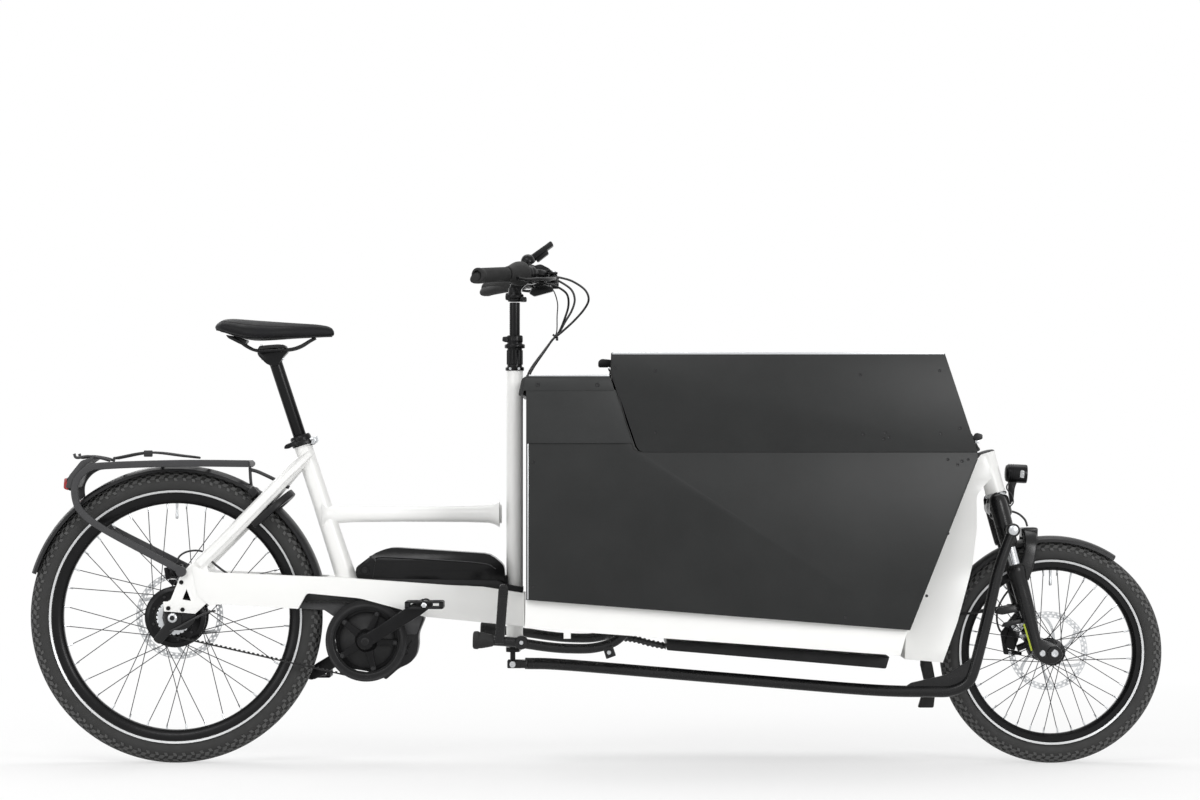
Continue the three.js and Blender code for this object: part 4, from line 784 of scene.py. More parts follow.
# %% Rims, nipples and spokes
def make_rim(wheel, label, body):
    half = wheel["rim"] / 2
    lip, floor = wheel["bead"] + 7, wheel["bead"] + 1.5
    profile = [
        (wheel["well"], -half * 0.42), (wheel["well"], half * 0.42), (wheel["well"] + 3, half * 0.62),
        (wheel["bead"] - 6, half), (lip, half), (lip + 0.6, half - 0.8), (lip, half - 1.8), (floor, half - 2.2),
        (floor, half - 8), (wheel["bead"] - 7, half * 0.3), (wheel["bead"] - 7, -half * 0.3), (floor, 8 - half),
        (floor, 2.2 - half), (lip, 1.8 - half), (lip + 0.6, 0.8 - half), (lip, -half), (wheel["bead"] - 6, -half),
        (wheel["well"] + 3, -half * 0.62)]
    hoop = turned(label + "_hoop", profile, *axle_line(wheel), segments=120, ring=True)
    place_piece(hoop, label + "_rim_hoop", BLACK_ANODISED, body, (label + "_rim",), 45)
    nipple = turned("nipple", [(0, -13), (1.9, -13), (2.3, -2), (2.3, 1), (0, 1)], (0, 0, 0), (0, 0, 1), 8)
    nipples = ringed(label + "_nipples", nipple, wheel, 36, wheel["well"], 5.0, STEEL)
    place_piece(nipples, label + "_spoke_nipples", STEEL, body)
    top = wheel["z"] + wheel["well"]
    stem = [(0, 0), (3.2, 0), (3.2, 8), (2.7, 10), (2.7, 26), (3.4, 27), (3.4, 36), (2.2, 38), (0, 38)]
    valve = turned("valve", stem, (wheel["x"], 0, top + 2), (wheel["x"], 0, top - 40), 14)
    place_piece(valve, label + "_valve", PALE_TRIM_AND_PAINTED_HIGHLIGHT, body)


def spoke(wheel, side, flange, flange_y, lean):
    """One spoke with its bent head, drawn from the rim above the origin down to the flange."""
    reach = wheel["well"] - 6
    angle = math.radians(lean)
    y = side * flange_y
    start = Vector((flange * math.sin(angle), y, flange * math.cos(angle) - wheel["well"]))
    end = Vector((0, y * 0.14, reach - wheel["well"]))
    length = (end - start).length
    wire = turned("spoke_wire", [(0, 0), (1.0, 0), (1.0, length), (0, length)], start, end, 6)
    head = turned("spoke_head", [(0, 0), (2.0, 0), (2.0, 1.2), (0, 1.2)],
                  start + Vector((0, side * 1.4, 0)), start + Vector((0, side * 2.4, 0)), 6)
    return joined("spoke", wire, head)


def make_spokes(wheel, label, body, flange, flange_y, lean):
    sets = []
    for i, (side, way) in enumerate(((-1, 1), (1, 1), (-1, -1), (1, -1))):
        wire = spoke(wheel, side, flange, flange_y + way * 1.6, lean * way)
        sets.append(ringed(label + "_spokes", wire, wheel, 9, wheel["well"], 5.0 + 10.0 * i, HOUSING))
    place_piece(sets, label + "_spokes", SPOKE_BLACK, body)


make_rim(REAR, "rear", "rear_wheel")
make_rim(FRONT, "front", "front_wheel")
make_spokes(REAR, "rear", "rear_wheel", 60.0, 31.0, 42.0)
make_spokes(FRONT, "front", "front_wheel", 25.0, 30.0, 62.0)
print("two rims and 72 spokes")

# %% [markdown]
# ## Hubs, discs and the belt drive
# The rear hub holds gears, so its shell is a wide drum with stepped faces. The brake discs are stamped
# steel with two rows of slots that clear water. The belt is cast polyurethane over cords, with a tooth
# every 11 mm. Geometry Nodes walk along the belt's inner path and set one tooth at each step, so the same
# tree would fit any belt length.


# %% Hub shells
def hub_shell(wheel, label, body, profile, bolts, bolt_radius, face_y):
    shell = turned(label + "_shell", profile, *axle_line(wheel), segments=72, ring=True)
    place_piece(shell, label + "_hub_shell", BLACK_ANODISED, body, (label + "_hub",), 30)
    head = turned("hub_bolt", [(0, 0), (3.6, 0), (3.6, 2.2), (3.0, 2.8), (0, 2.8)], (0, face_y, 0),
                  (0, face_y + (-1 if face_y < 0 else 1), 0), 12)
    studs = ringed(label + "_studs", head, wheel, bolts, bolt_radius, 12.0, RIVET)
    place_piece(studs, label + "_hub_bolts", RIVET, body)


hub_shell(REAR, "rear", "rear_wheel", [
    (8, -37.8), (22, -37.8), (24, -36.4), (33, -36.4), (35, -37.6), (44, -37.2), (46, -35.6), (58, -34.8),
    (60, -35.6), (68, -33.6), (71, -31.4), (71, -28), (69.6, -26.4), (67, -25), (66, -22), (66, 22),
    (67, 26), (70, 27.6), (71, 29), (71, 32.6), (69.6, 34), (60, 36.8), (58, 38.4), (44, 45), (42, 44.6),
    (31, 51), (29, 54), (8, 54.2)], 9, 52.0, -36.0)
hub_shell(FRONT, "front", "front_wheel", [
    (9.8, -37.8), (14, -37.8), (16, -35), (24, -32), (31, -30), (31.2, -28), (31, -25.6), (27, -23), (18, -14),
    (17, 0), (18, 14), (27, 23), (31, 25.6), (31.2, 28), (31, 30), (24, 34), (21, 41), (9.8, 41.2)], 6, 26.0, -31.0)


# %% Brake discs
def brake_disc(wheel, label, body, radius, y):
    """A band of 1.8 mm plate with two staggered rows of slots, on six swept arms and a ring."""
    cells, rows, band = 44, 2, 14.0
    width = band / rows
    bm = bmesh.new()
    corners = [(1, 0), (1, 1), (0, 1), (-1, 1), (-1, 0), (-1, -1), (0, -1), (1, -1)]
    for row in range(rows):
        for cell in range(cells):
            middle = 2 * math.pi * (cell + 0.5 * row) / cells
            step = math.pi / cells
            core = radius - width * (row + 0.5)
            outer, inner = [], []
            for a, b in corners:
                turn, out = middle + a * step, core + b * width / 2
                outer.append(bm.verts.new((out * math.cos(turn), 0, out * math.sin(turn))))
                norm = 1 if a == 0 or b == 0 else 0.8
                turn, out = middle + a * norm * 3.3 / core, core + b * norm * 2.2
                inner.append(bm.verts.new((out * math.cos(turn), 0, out * math.sin(turn))))
            for i in range(8):
                j = (i + 1) % 8
                bm.faces.new((outer[i], outer[j], inner[j], inner[i]))
    bmesh.ops.remove_doubles(bm, verts=bm.verts, dist=0.02)
    bmesh.ops.solidify(bm, geom=bm.faces[:], thickness=1.8)
    bmesh.ops.translate(bm, vec=(wheel["x"], y + 0.9, wheel["z"]), verts=bm.verts)
    parts = [finish_bmesh(bm, label + "_band")]
    for arm in range(6):
        start = math.pi * arm / 3
        edges = [[], []]
        for step in range(9):
            out = 20 + (radius - 13.6 - 20) * step / 8
            turn = start + 0.62 * step / 8
            half = (3.2 + 2.0 * abs(1 - step / 4)) / out
            for side, sign in ((0, -1), (1, 1)):
                edges[side].append((wheel["x"] + out * math.cos(turn + sign * half),
                                    wheel["z"] + out * math.sin(turn + sign * half)))
        parts.append(slab("arm", edges[0] + edges[1][::-1], y - 0.75, y + 0.75))
    hub = [(12.5, y - 1.2), (25, y - 1.2), (25.6, y - 0.6), (25.6, y + 0.6), (25, y + 1.2), (12.5, y + 1.2)]
    parts.append(turned("carrier", hub, *axle_line(wheel), segments=60, ring=True))
    place_piece(parts, label + "_brake_disc", STEEL, body, (label + "_rotor",), 30)


brake_disc(REAR, "rear", "rear_wheel", 102.0, 56.0)
brake_disc(FRONT, "front", "front_wheel", 92.0, 43.0)
print("hubs and two slotted discs")


# %% Belt teeth along a path
def tooth_tree():
    """Walks a closed edge path and sets a tooth every pitch, pointing inwards."""
    tree = bpy.data.node_groups.new("belt_teeth", "GeometryNodeTree")
    face = tree.interface
    face.new_socket("Path", in_out="INPUT", socket_type="NodeSocketGeometry")
    for name, value in (("Pitch", 0.011), ("Width", 0.0114), ("Depth", 0.003), ("Length", 0.005)):
        face.new_socket(name, in_out="INPUT", socket_type="NodeSocketFloat").default_value = value
    face.new_socket("Material", in_out="INPUT", socket_type="NodeSocketMaterial")
    face.new_socket("Teeth", in_out="OUTPUT", socket_type="NodeSocketGeometry")
    given = add(tree, "NodeGroupInput").outputs
    curve = add(tree, "GeometryNodeMeshToCurve", {"Mesh": given["Path"]}).outputs[0]
    steps = add(tree, "GeometryNodeResampleCurve", {"Curve": curve, "Length": given["Pitch"]}, mode="LENGTH")
    size = add(tree, "ShaderNodeCombineXYZ", {0: given["Depth"], 1: given["Width"], 2: given["Length"]}).outputs[0]
    block = add(tree, "GeometryNodeMeshCube", {"Size": size}).outputs[0]
    tangent = add(tree, "GeometryNodeInputTangent").outputs[0]
    facing = add(tree, "FunctionNodeAlignRotationToVector", {"Vector": tangent}, axis="Z", pivot_axis="Y").outputs[0]
    copies = {"Points": steps.outputs[0], "Instance": block, "Rotation": facing}
    return set_copies(tree, copies, given["Material"])


# The cranks' axle, the belt's middle plane, and the pulleys' pitch circles from their 50 and 24 teeth
BB = dict(x=-531.5, z=286.3)
BELT_Y = -50.0
BELT_PITCH = 11
RING_RADIUS = 50 * BELT_PITCH / (2 * math.pi)
COG_RADIUS = 24 * BELT_PITCH / (2 * math.pi)


def belt_path(extra):
    """The belt's side view at a height above the pitch circles: two wraps joined by straight runs."""
    dx, dz = BB["x"] - REAR["x"], BB["z"] - REAR["z"]
    slope, distance = math.atan2(dz, dx), math.hypot(dx, dz)
    ring, cog = RING_RADIUS + extra, COG_RADIUS + extra
    open_angle = math.acos((cog - ring) / distance)
    ring_steps, cog_steps = 44, 26
    points = []
    for i in range(cog_steps + 1):
        turn = slope + open_angle + (2 * math.pi - 2 * open_angle) * i / cog_steps
        points.append((REAR["x"] + cog * math.cos(turn), REAR["z"] + cog * math.sin(turn)))
    for i in range(ring_steps + 1):
        turn = slope - open_angle + 2 * open_angle * i / ring_steps
        points.append((BB["x"] + ring * math.cos(turn), BB["z"] + ring * math.sin(turn)))
    return points


def make_belt():
    outside, inside = belt_path(2.6), belt_path(0.0)
    bm = bmesh.new()
    rings = []
    for (xo, zo), (xi, zi) in zip(outside, inside):
        rings.append([bm.verts.new(p) for p in ((xo, BELT_Y - 5.7, zo), (xo, BELT_Y + 5.7, zo),
                                                (xi, BELT_Y + 5.7, zi), (xi, BELT_Y - 5.7, zi))])
    skin(bm, rings, closed=True)
    strap = finish_bmesh(bm, "belt_strap")
    line = bpy.data.meshes.new("belt_line")
    path = belt_path(-1.0)
    line.from_pydata([(x * MM, BELT_Y * MM, z * MM) for x, z in path],
                     [(i, (i + 1) % len(path)) for i in range(len(path))], [])
    teeth = run_tree(tooth_tree(), line, "belt_teeth", Material=GRIP_RUBBER)
    place_piece([strap, teeth], "toothed_belt", GRIP_RUBBER, "chassis", ("belt",), 30)
    return len(teeth.vertices) // 8


print("belt teeth", make_belt())


# %% Belt ring, its guard and the cog
def make_drive():
    place_piece(softened_mesh("belt_ring", 0.3), "belt_ring_teeth", BLACK_ANODISED, "cranks",
                ("belt_ring",), 30)
    guard = turned("ring_guard", [
        (77, -58.2), (79, -59.2), (82, -59.2), (83.4, -58.2), (90.4, -58.2), (92, -59.4), (94, -59.4),
        (94.8, -58.6), (94.8, -56.8), (77, -56.8)], *axle_line(BB), 96, ring=True)
    place_piece(guard, "belt_ring_guard", PLASTIC, "cranks")
    place_piece(softened_mesh("rear_cog", 0.3), "belt_cog", STEEL, "drive_cog", ("rear_cog",), 30)
    bolt = turned("ring_bolt", [
        (0, 0), (5, 0), (5, 1.2), (3.4, 2.2), (3.2, 1.4), (0, 1.4)], (0, -59, 0), (0, -60, 0), 18)
    bolts = ringed("ring_bolts", bolt, BB, 5, 66.0, 22.0, RIVET)
    place_piece(bolts, "belt_ring_bolts", RIVET, "cranks")


make_drive()


# %% Cranks and pedals
CRANK_TURN = math.radians(32)
CRANK_LENGTH = 165


def crank_end(side):
    """Where a pedal's axle stands at rest, seen from the side."""
    turn = CRANK_TURN + (0 if side < 0 else math.pi)
    return BB["x"] + CRANK_LENGTH * math.cos(turn), BB["z"] + CRANK_LENGTH * math.sin(turn)


def crank_arm(side, y):
    """A forged arm: wide at the axle, waisted, with a shallow groove milled along its outside."""
    end = crank_end(side)
    start, tip = Vector((BB["x"], y, BB["z"])), Vector((end[0], y + side * 2, end[1]))
    flat = [(v, u) for u, v in bar_section(7, 17, 4)]
    route = [start.lerp(tip, t) for t in (0.0, 0.1, 0.3, 0.6, 0.85, 1.0)]
    arm = swept("crank_arm", flat, route, 3, [0.94, 0.9, 0.84, 0.9, 0.96, 0.8], up=(0, 1, 0))
    return arm, tip


def make_crank(side, node):
    """An arm with its boss and eye; the right one has the belt ring's five-armed spider."""
    y = -100 if side < 0 else 99.5
    arm, tip = crank_arm(side, y)
    ends = [rod("crank_boss", *axle_line(BB, y - 7, y + 7), 17.2, segments=40, edge=1.5),
            rod("crank_eye", (tip.x, tip.y - 6.4, tip.z), (tip.x, tip.y + 6.4, tip.z), 12.4, segments=32, edge=1.5)]
    if side < 0:
        for i in range(5):
            turn = CRANK_TURN + math.radians(36) + 2 * math.pi * i / 5
            out = Vector((math.cos(turn), 0, math.sin(turn)))
            hub = Vector((BB["x"], BELT_Y - 4, BB["z"]))
            route = [hub + out * reach for reach in (14, 42, 71)]
            ends.append(swept("spider_arm", bar_section(8, 3.4, 2, 3), route, 4, [1.4, 0.95, 0.8], up=(0, 1, 0)))
        ends.append(turned("spider_hub", [
            (12, -98), (19, -98), (21, -70), (27, -55), (27, -46), (12, -46)], *axle_line(BB), 48, ring=True))
    else:
        ends.append(rod("spindle", *axle_line(BB, -92, 93), 11, segments=32))
    place_piece([arm, *ends], node + "_arm", BLACK_ANODISED, "cranks", (node,), 34)
    cap = turned("crank_cap", [
        (0, 0), (9, 0), (9, 1.4), (7.4, 2.2), (4.6, 2.2), (4.2, 0.8), (0, 0.8)
    ], *axle_line(BB, y + side * 7, y + side * 8), 30)
    place_piece(cap, node + "_cap", PLASTIC, "cranks")


make_crank(-1, "crank_right")
make_crank(1, "crank_left")


def make_pedal(side, node, body):
    """A cage pedal: two side plates joined by two rungs over the axle's barrel, with pads and reflectors."""
    x, z = crank_end(side)
    inner, outer = side * 114, side * 190
    low, high = min(inner, outer), max(inner, outer)

    def block(label, middle, half_width, half_height, radius, near, far, edge):
        back, front, foot, top = middle - half_width, middle + half_width, z - half_height, z + half_height
        return slab(label, [(back, foot, radius), (front, foot, radius), (front, top, radius), (back, top, radius)],
                    near, far, edge=edge)

    parts = []
    for lo, hi in ((low, low + 7), (high - 7, high)):
        for way in (-1, 1):
            parts.append(slab("pedal_bar", [
                (x - 44, z + way * 4.4, 1), (x + 44, z + way * 4.4, 1), (x + 42, z + way * 9, 3),
                (x - 42, z + way * 9, 3)], lo, hi, edge=0.8))
    parts += [block("pedal_rung", x + spot, 5, 8, 2, low, high, 1.0) for spot in (-39, 39)]
    barrel = [(0, 0), (9.4, 0), (10, 2), (8.6, 12), (8.2, 40), (9, 72), (8.4, 76), (0, 76)]
    parts.append(turned("pedal_barrel", barrel, (x, inner, z), (x, outer, z), 28))
    parts.append(rod("pedal_axle", (x, side * 108.4, z), (x, side * 116, z), 7, segments=24))
    place_piece(parts, node + "_cage", PLASTIC, body, (node,), 34)
    pads = [block("pedal_pad", x + way * 13, 4.5, 8.8, 2, low + 10, high - 10, 1.0) for way in (-1, 1)]
    place_piece(pads, node + "_grip_pads", GRIP_RUBBER, body)
    nut = turned("pedal_nut", [(0, 0), (6.4, 0), (6.4, 1.5), (4.0, 2.6), (0, 2.6)],
                 (x, outer, z), (x, outer + side, z), 6)
    place_piece(nut, node + "_end_nut", STEEL, body)
    for way, word in ((-1, "rear"), (1, "front")):
        face = block("pedal_reflector", x + way * 43.5, 0.5, 4, 1, low + 20, high - 20, 0.0)
        place_piece(face, f"{node}_reflector_{word}", AMBER_LENS, body)


make_pedal(-1, "pedal_right", "right_pedal")
make_pedal(1, "pedal_left", "left_pedal")
print("cranks and pedals")

# %% [markdown]
# ## The frame, the drive unit and the battery
# The CAD's frame is true in outline, but its tubes are twelve-sided. Round sleeves with swollen ends lie
# over them, as a welder blends one tube into the next, and small fasteners and hoses are added.


# %% Fasteners and hoses
def fasteners(name, centres, out, radius, height, material, body="chassis"):
    """Equal button-head screws with a socket, on a surface that faces out, as one piece."""
    profile = [(0, height * 0.35), (radius * 0.42, height * 0.35), (radius * 0.46, height * 0.9),
               (radius * 0.8, height * 0.85), (radius, height * 0.35), (radius, -1.0)]
    heads = [turned(name, profile, c, Vector(c) + Vector(out), 16) for c in centres]
    return place_piece(heads, name, material, body)


def hose(name, route, radius, body="chassis"):
    """A short fixed hose or cable between two fittings."""
    return place_piece(swept(name, round_section(radius, 12), route, 8), name, HOUSING, body)


# %% Frame
SEAT_TOP = Vector((-690.0, 0.0, 757.0))
SEAT_FOOT = Vector((-580.0, 0.0, 424.0))
COLUMN_X = -189.7
COLUMN_LINE = ((COLUMN_X, 0, 0), (COLUMN_X, 0, 1))
SIDES = ((-1, "right"), (1, "left"))


def make_frame():
    softened_node("frame", WHITE_COAT, 2.4, 40.0, 30.0)
    length = (SEAT_FOOT - SEAT_TOP).length
    seat_tube = turned("seat_tube", [
        (16.3, 3.0), (16.3, 0.8), (19.6, 0.3), (20.8, 1.6), (20.8, 40), (21.2, 160), (22.8, 280),
        (24.0, length - 16), (29.0, length + 4)], SEAT_TOP, SEAT_FOOT, 56)
    column_tube = turned("column_tube", [
        (16.4, 292), (18.6, 292), (19.3, 293.4), (19.3, 911), (18.4, 912.6), (16.4, 912.6)], *COLUMN_LINE, 56)
    top_tube = turned("top_tube", [
        (33, 0), (27, 7), (23, 16), (20.5, 28), (17.9, 70), (17.2, 180), (18.6, 330), (20.6, 386), (24.5, 400),
        (31, 411)], (-636, 0, 577), (-190, 0, 579), 56)
    place_piece([seat_tube, column_tube, top_tube], "frame_tubes", WHITE_COAT, "chassis", smooth=50)
    route = [(-676, 5, 711), (-704, 26, 683), (-752, 53, 630), (-830, 66, 549), (-917, 73, 462)]
    stays = [swept("stay", bar_section(9, 15, 7, 5), sided(route, side), 7, sizes=[0.8, 1.0, 1.0, 1.0, 1.04])
             for side in (-1, 1)]
    place_piece(stays, "seat_stays", WHITE_COAT, "chassis", smooth=50)
    for side, word in SIDES:
        spots = sided([(-958, 78, 422), (-988, 78, 362), (-955, 78, 359)], side)
        fasteners("dropout_screws_" + word, spots, (0, side, 0), 5.2, 3.2, BLACK_ANODISED)


make_frame()


# %% Hoses at the rear
hose("brake_hose_rear", [(-985, 62, 462), (-980, 70, 478), (-962, 74, 489), (-934, 76, 491), (-905, 74, 480)], 2.4)
hose("hose_into_rail", [(-893, -70, 474), (-880, -74, 463), (-862, -74, 449), (-846, -72, 438)], 2.6)
hose("gear_cable", [(-880, -70, 356), (-900, -78, 352), (-925, -83, 340), (-958, -84, 322), (-984, -82, 309)], 2.4)


# %% Motor and its shroud
def make_motor():
    """The cast case behind the belt ring, with its ribs, its shroud's wing and its screws."""
    case = slab("case", [
        (-612, 378, 4), (-600, 392, 4), (-420, 392, 4), (-398, 336, 6), (-413, 300, 12), (-411.5, 275, 20),
        (-417, 250, 16), (-431, 233, 14), (-457, 221, 8), (-487, 195, 3), (-498, 201, 3), (-520, 212, 20),
        (-580, 222, 30), (-604, 262, 30), (-606, 320, 30)], -35.5, 40, edge=3.0)
    drum = turned("drum", [
        (12, -42), (28, -42), (30, -41), (62, -37.5), (66, -36), (67, -33), (67, 0), (70, 56), (68, 62), (58, 70),
        (12, 70)], *axle_line(BB), 72, ring=True)
    place_piece([case, drum], "motor_case", PLASTIC, "chassis", ("motor",), 40)
    ribs = [slab("rib", [
        (-470 + 9 * i, 238 + 3 * i), (-436 + 5 * i, 252 + 16 * i), (-437 + 5 * i, 255 + 16 * i),
        (-471 + 9 * i, 241 + 3 * i)], -38, -34, edge=0.8) for i in range(3)]
    place_piece(ribs, "motor_ribs", PLASTIC, "chassis")
    wing = slab("wing", [
        (-690, 360.5, 2), (-666, 397, 2), (-555, 387), (-506, 379), (-442, 361), (-402, 342, 3), (-416, 300, 4),
        (-440, 300, 4), (-470, 340), (-540, 366), (-596, 344, 4), (-609, 342, 3), (-630, 356.5, 4)
    ], -43, -36, edge=1.2)
    place_piece(wing, "motor_wing", PLASTIC_GREY, "chassis", ("motor_shroud",))
    fasteners("motor_screws", [(-440, -36, 262), (-436, -36, 330), (-476, -36, 228)], (0, -1, 0), 4.2, 2.4, RIVET)


make_motor()


# %% Battery
def make_battery():
    softened_node("battery", GLOSS_PLASTIC, 5.0, 60.0, 20.0)
    shelf = slab("battery_rail", [
        (-556, 431, 2), (-236, 431), (-216, 419), (-170, 409), (-170, 398), (-240, 407), (-300, 413.5),
        (-556, 418, 2)], -45, 45, edge=1.2)
    place_piece(shelf, "battery_rail", PLASTIC, "chassis")
    seam = slab("battery_seam", rounded([
        (-517, 428.5), (-511, 470), (-524, 482), (-526, 481), (-513, 469.5), (-519, 428.5)], 1), -47.4, 47.4)
    place_piece(seam, "battery_seam", PLASTIC, "chassis")
    spot = Vector((-536, -47.0, 449))
    lock = turned("battery_lock", [
        (0, 1.0), (1.4, 1.0), (1.8, 2.2), (6.5, 2.4), (7.5, 1.4), (8.2, 0.2), (9.5, -1)
    ], spot, spot + Vector((0, -1, 0)), 32)
    place_piece(lock, "battery_lock", PLASTIC, "chassis")
    # Thin pale grey lines along the battery's upper edges: a painted highlight
    edge = [(-512, 47.2, 470), (-500, 47.6, 480), (-380, 47.6, 474), (-262, 47.6, 465), (-232, 46.6, 452)]
    painted_highlight_line = [swept("painted_highlight_line", round_section(1.3, 8), sided(edge, side), 6) for side in (-1, 1)]
    place_piece(painted_highlight_line, "battery_ridges", PAINTED_HIGHLIGHT_GREY, "chassis")
    strap = boxed("battery_strap", -224, -205, -30, 30, 414, 436, 3)
    place_piece(strap, "battery_strap", PLASTIC, "chassis")


make_battery()

# %% [markdown]
# ## Carrier, rear light, lock, mudguards and brakes
# The carrier is bent from a flat-sided bar, wider than it is thick. Its round wire crosses and the
# sprung flap are thinner. The lock is a horseshoe that lies across the wheel under the seat stays.


# %% Carrier
def make_carrier():
    route = [(-806, 60, 696), (-960, 60, 697), (-1130, 60, 692), (-1178, 58, 684), (-1206, 55, 652),
             (-1206, 56, 612), (-1188, 60, 580), (-1140, 66, 545), (-1040, 80, 492), (-958, 86, 450)]
    sides = []
    for side in (-1, 1):
        sides.append(swept("side", bar_section(4.5, 8, 3), sided(route, side), 7))
        sides.append(rod("tongue", (-958, side * 70, 447), (-958, side * 91, 447), 12, segments=28))
    rungs = [rod("rung", (x, -58, z), (x, 58, z), 4.5) for x, z in ((-900, 696), (-1010, 696), (-1110, 692))]
    tail = slab("tail", [
        (-1230, 640, 4), (-1222, 668, 4), (-1194, 703, 6), (-1166, 712, 2), (-1165, 706, 2), (-1186, 692, 6),
        (-1206, 640, 4)], -55, 55, edge=1.4)
    hook = [(-1128, 40, 703), (-1150, 40, 709), (-1180, 40, 713), (-1206, 40, 710), (-1212, 40, 719)]
    hooks = [swept("hook", round_section(3.4, 12), sided(hook, side), 5) for side in (-1, 1)]
    front_bar = rod("front_bar", (-808, -62, 696), (-808, 62, 696), 7)
    brace = swept("brace", round_section(3.6, 12), [(-808, 0, 696), (-806, 0, 660), (-802, 0, 626)], 4)
    stay = swept("stay", round_section(4.2, 12), [(-806, 0, 682), (-786, 0, 676), (-744, 0, 656), (-716, 0, 640)], 5)
    place_piece([*sides, *rungs, tail, *hooks, front_bar, brace, stay], "carrier", CARRIER_COAT, "chassis",
                ("rack",))
    flap = swept("flap", round_section(2.8, 12), [
        (-1118, -40, 709), (-1040, -42, 722), (-960, -36, 714), (-925, 0, 710), (-960, 36, 714),
        (-1040, 42, 722), (-1118, 40, 709)], 10)
    hinge = rod("hinge", (-1118, -44, 709), (-1118, 44, 709), 3.2)
    knob = boxed("knob", -1050, -1030, -44, -34, 712, 727, 2)
    place_piece([flap, hinge, knob], "carrier_flap", DULL_COAT, "carrier_flap", ("rack_flap",))


make_carrier()


# %% Rear light
def make_rear_light():
    case = slab("case", [
        (-1226, 634, 4), (-1214, 632, 4), (-1210, 660, 4), (-1222, 668, 4), (-1230, 662, 4)], -38, 38, edge=1.6)
    place_piece(case, "rear_light_case", PLASTIC, "chassis")
    glass = slab("glass", [(-1238, 638, 5), (-1227, 634, 3), (-1224, 662, 3), (-1236, 663, 5)], -34, 34, edge=1.6)
    place_piece(glass, "rear_light_lens", RED_LENS, "chassis")


make_rear_light()


# %% Ring lock
def make_lock():
    softened_node("ring_lock", PLASTIC, 3.2, 50.0, 24.0)
    turn = Matrix.Translation((-757 * MM, 0, 586 * MM)) @ Matrix.Rotation(math.radians(-41), 4, "Y")
    barrel = rod("barrel", (0, -60, -24), (0, -60, 14), 10.5, segments=32, edge=2)
    lug = boxed("lug", -10, 10, -70, -48, -52, -30, 4)
    key = rod("key", (0, -60, 12), (0, -60, 17), 6, segments=24)
    mesh = joined("lock_barrel", barrel, lug, key)
    mesh.transform(turn @ Matrix.Rotation(math.radians(-90), 4, "X"))
    place_piece(mesh, "lock_barrel", PLASTIC, "chassis")


make_lock()


# %% Rear brake and axle
PISTON = [(0, 3), (9, 3), (10.5, 1.5), (12, 4.5), (14.4, 4.5), (15.6, 2), (15.6, -4), (0, -4)]


def make_rear_axle():
    body = softened_mesh("rear_caliper", 3.0)
    piston = turned("piston", PISTON, (-989, 36, 442), (-989, 35, 442), 36)
    arm = slab("arm", [
        (-1006, 424, 4), (-1000, 412, 4), (-960, 404, 4), (-952, 416, 4), (-978, 424, 4)], 62, 72, edge=1.4)
    place_piece([body, piston, arm], "rear_caliper_shell", BLACK_ANODISED, "chassis",
                ("rear_caliper",))
    softened_node("rear_axle", BLACK_COAT, 2.0, 44.0, 26.0)
    for side, word in SIDES:
        nut = turned("nut", [(0, 87), (3.6, 87), (4.2, 90), (8.0, 90), (10.6, 88), (11.4, 84), (11.4, 78), (0, 78)],
                     *axle_line(REAR, 0, side), 36)
        place_piece(nut, "rear_axle_nut_" + word, STEEL, "chassis")


make_rear_axle()

# %% [markdown]
# ## The fork, the steering rod and the headlight
# The inner legs are chromed and slide in tapered lower legs, which an arch joins over the tyre. The long
# rod comes up beside the wheel in one bent tube, stiffened in its bend by a plate, to a ball on the crown.


# %% Places on the fork
# The steering axis leans back by 15 degrees, and the fork legs stand 62 mm to each side of the middle
HEAD_ANGLE = math.radians(15)
LEAN = Vector((-math.sin(HEAD_ANGLE), 0.0, math.cos(HEAD_ANGLE)))
LEG_FOOT = Vector((1025.0, 62.0, 254.0))
HEAD_FOOT = Vector((933.0, 0.0, 623.0))
STEERING_BALL = Vector((954.2, -159.4, 544.0))


def leg_line(side, distance):
    """A point on a fork leg, a distance up from its foot."""
    return Vector((LEG_FOOT.x, side * LEG_FOOT.y, LEG_FOOT.z)) + LEAN * distance


def head_line(z):
    """The point of the steering axis at a height."""
    return Vector((HEAD_FOOT.x - (z - HEAD_FOOT.z) * math.tan(HEAD_ANGLE), 0.0, z))


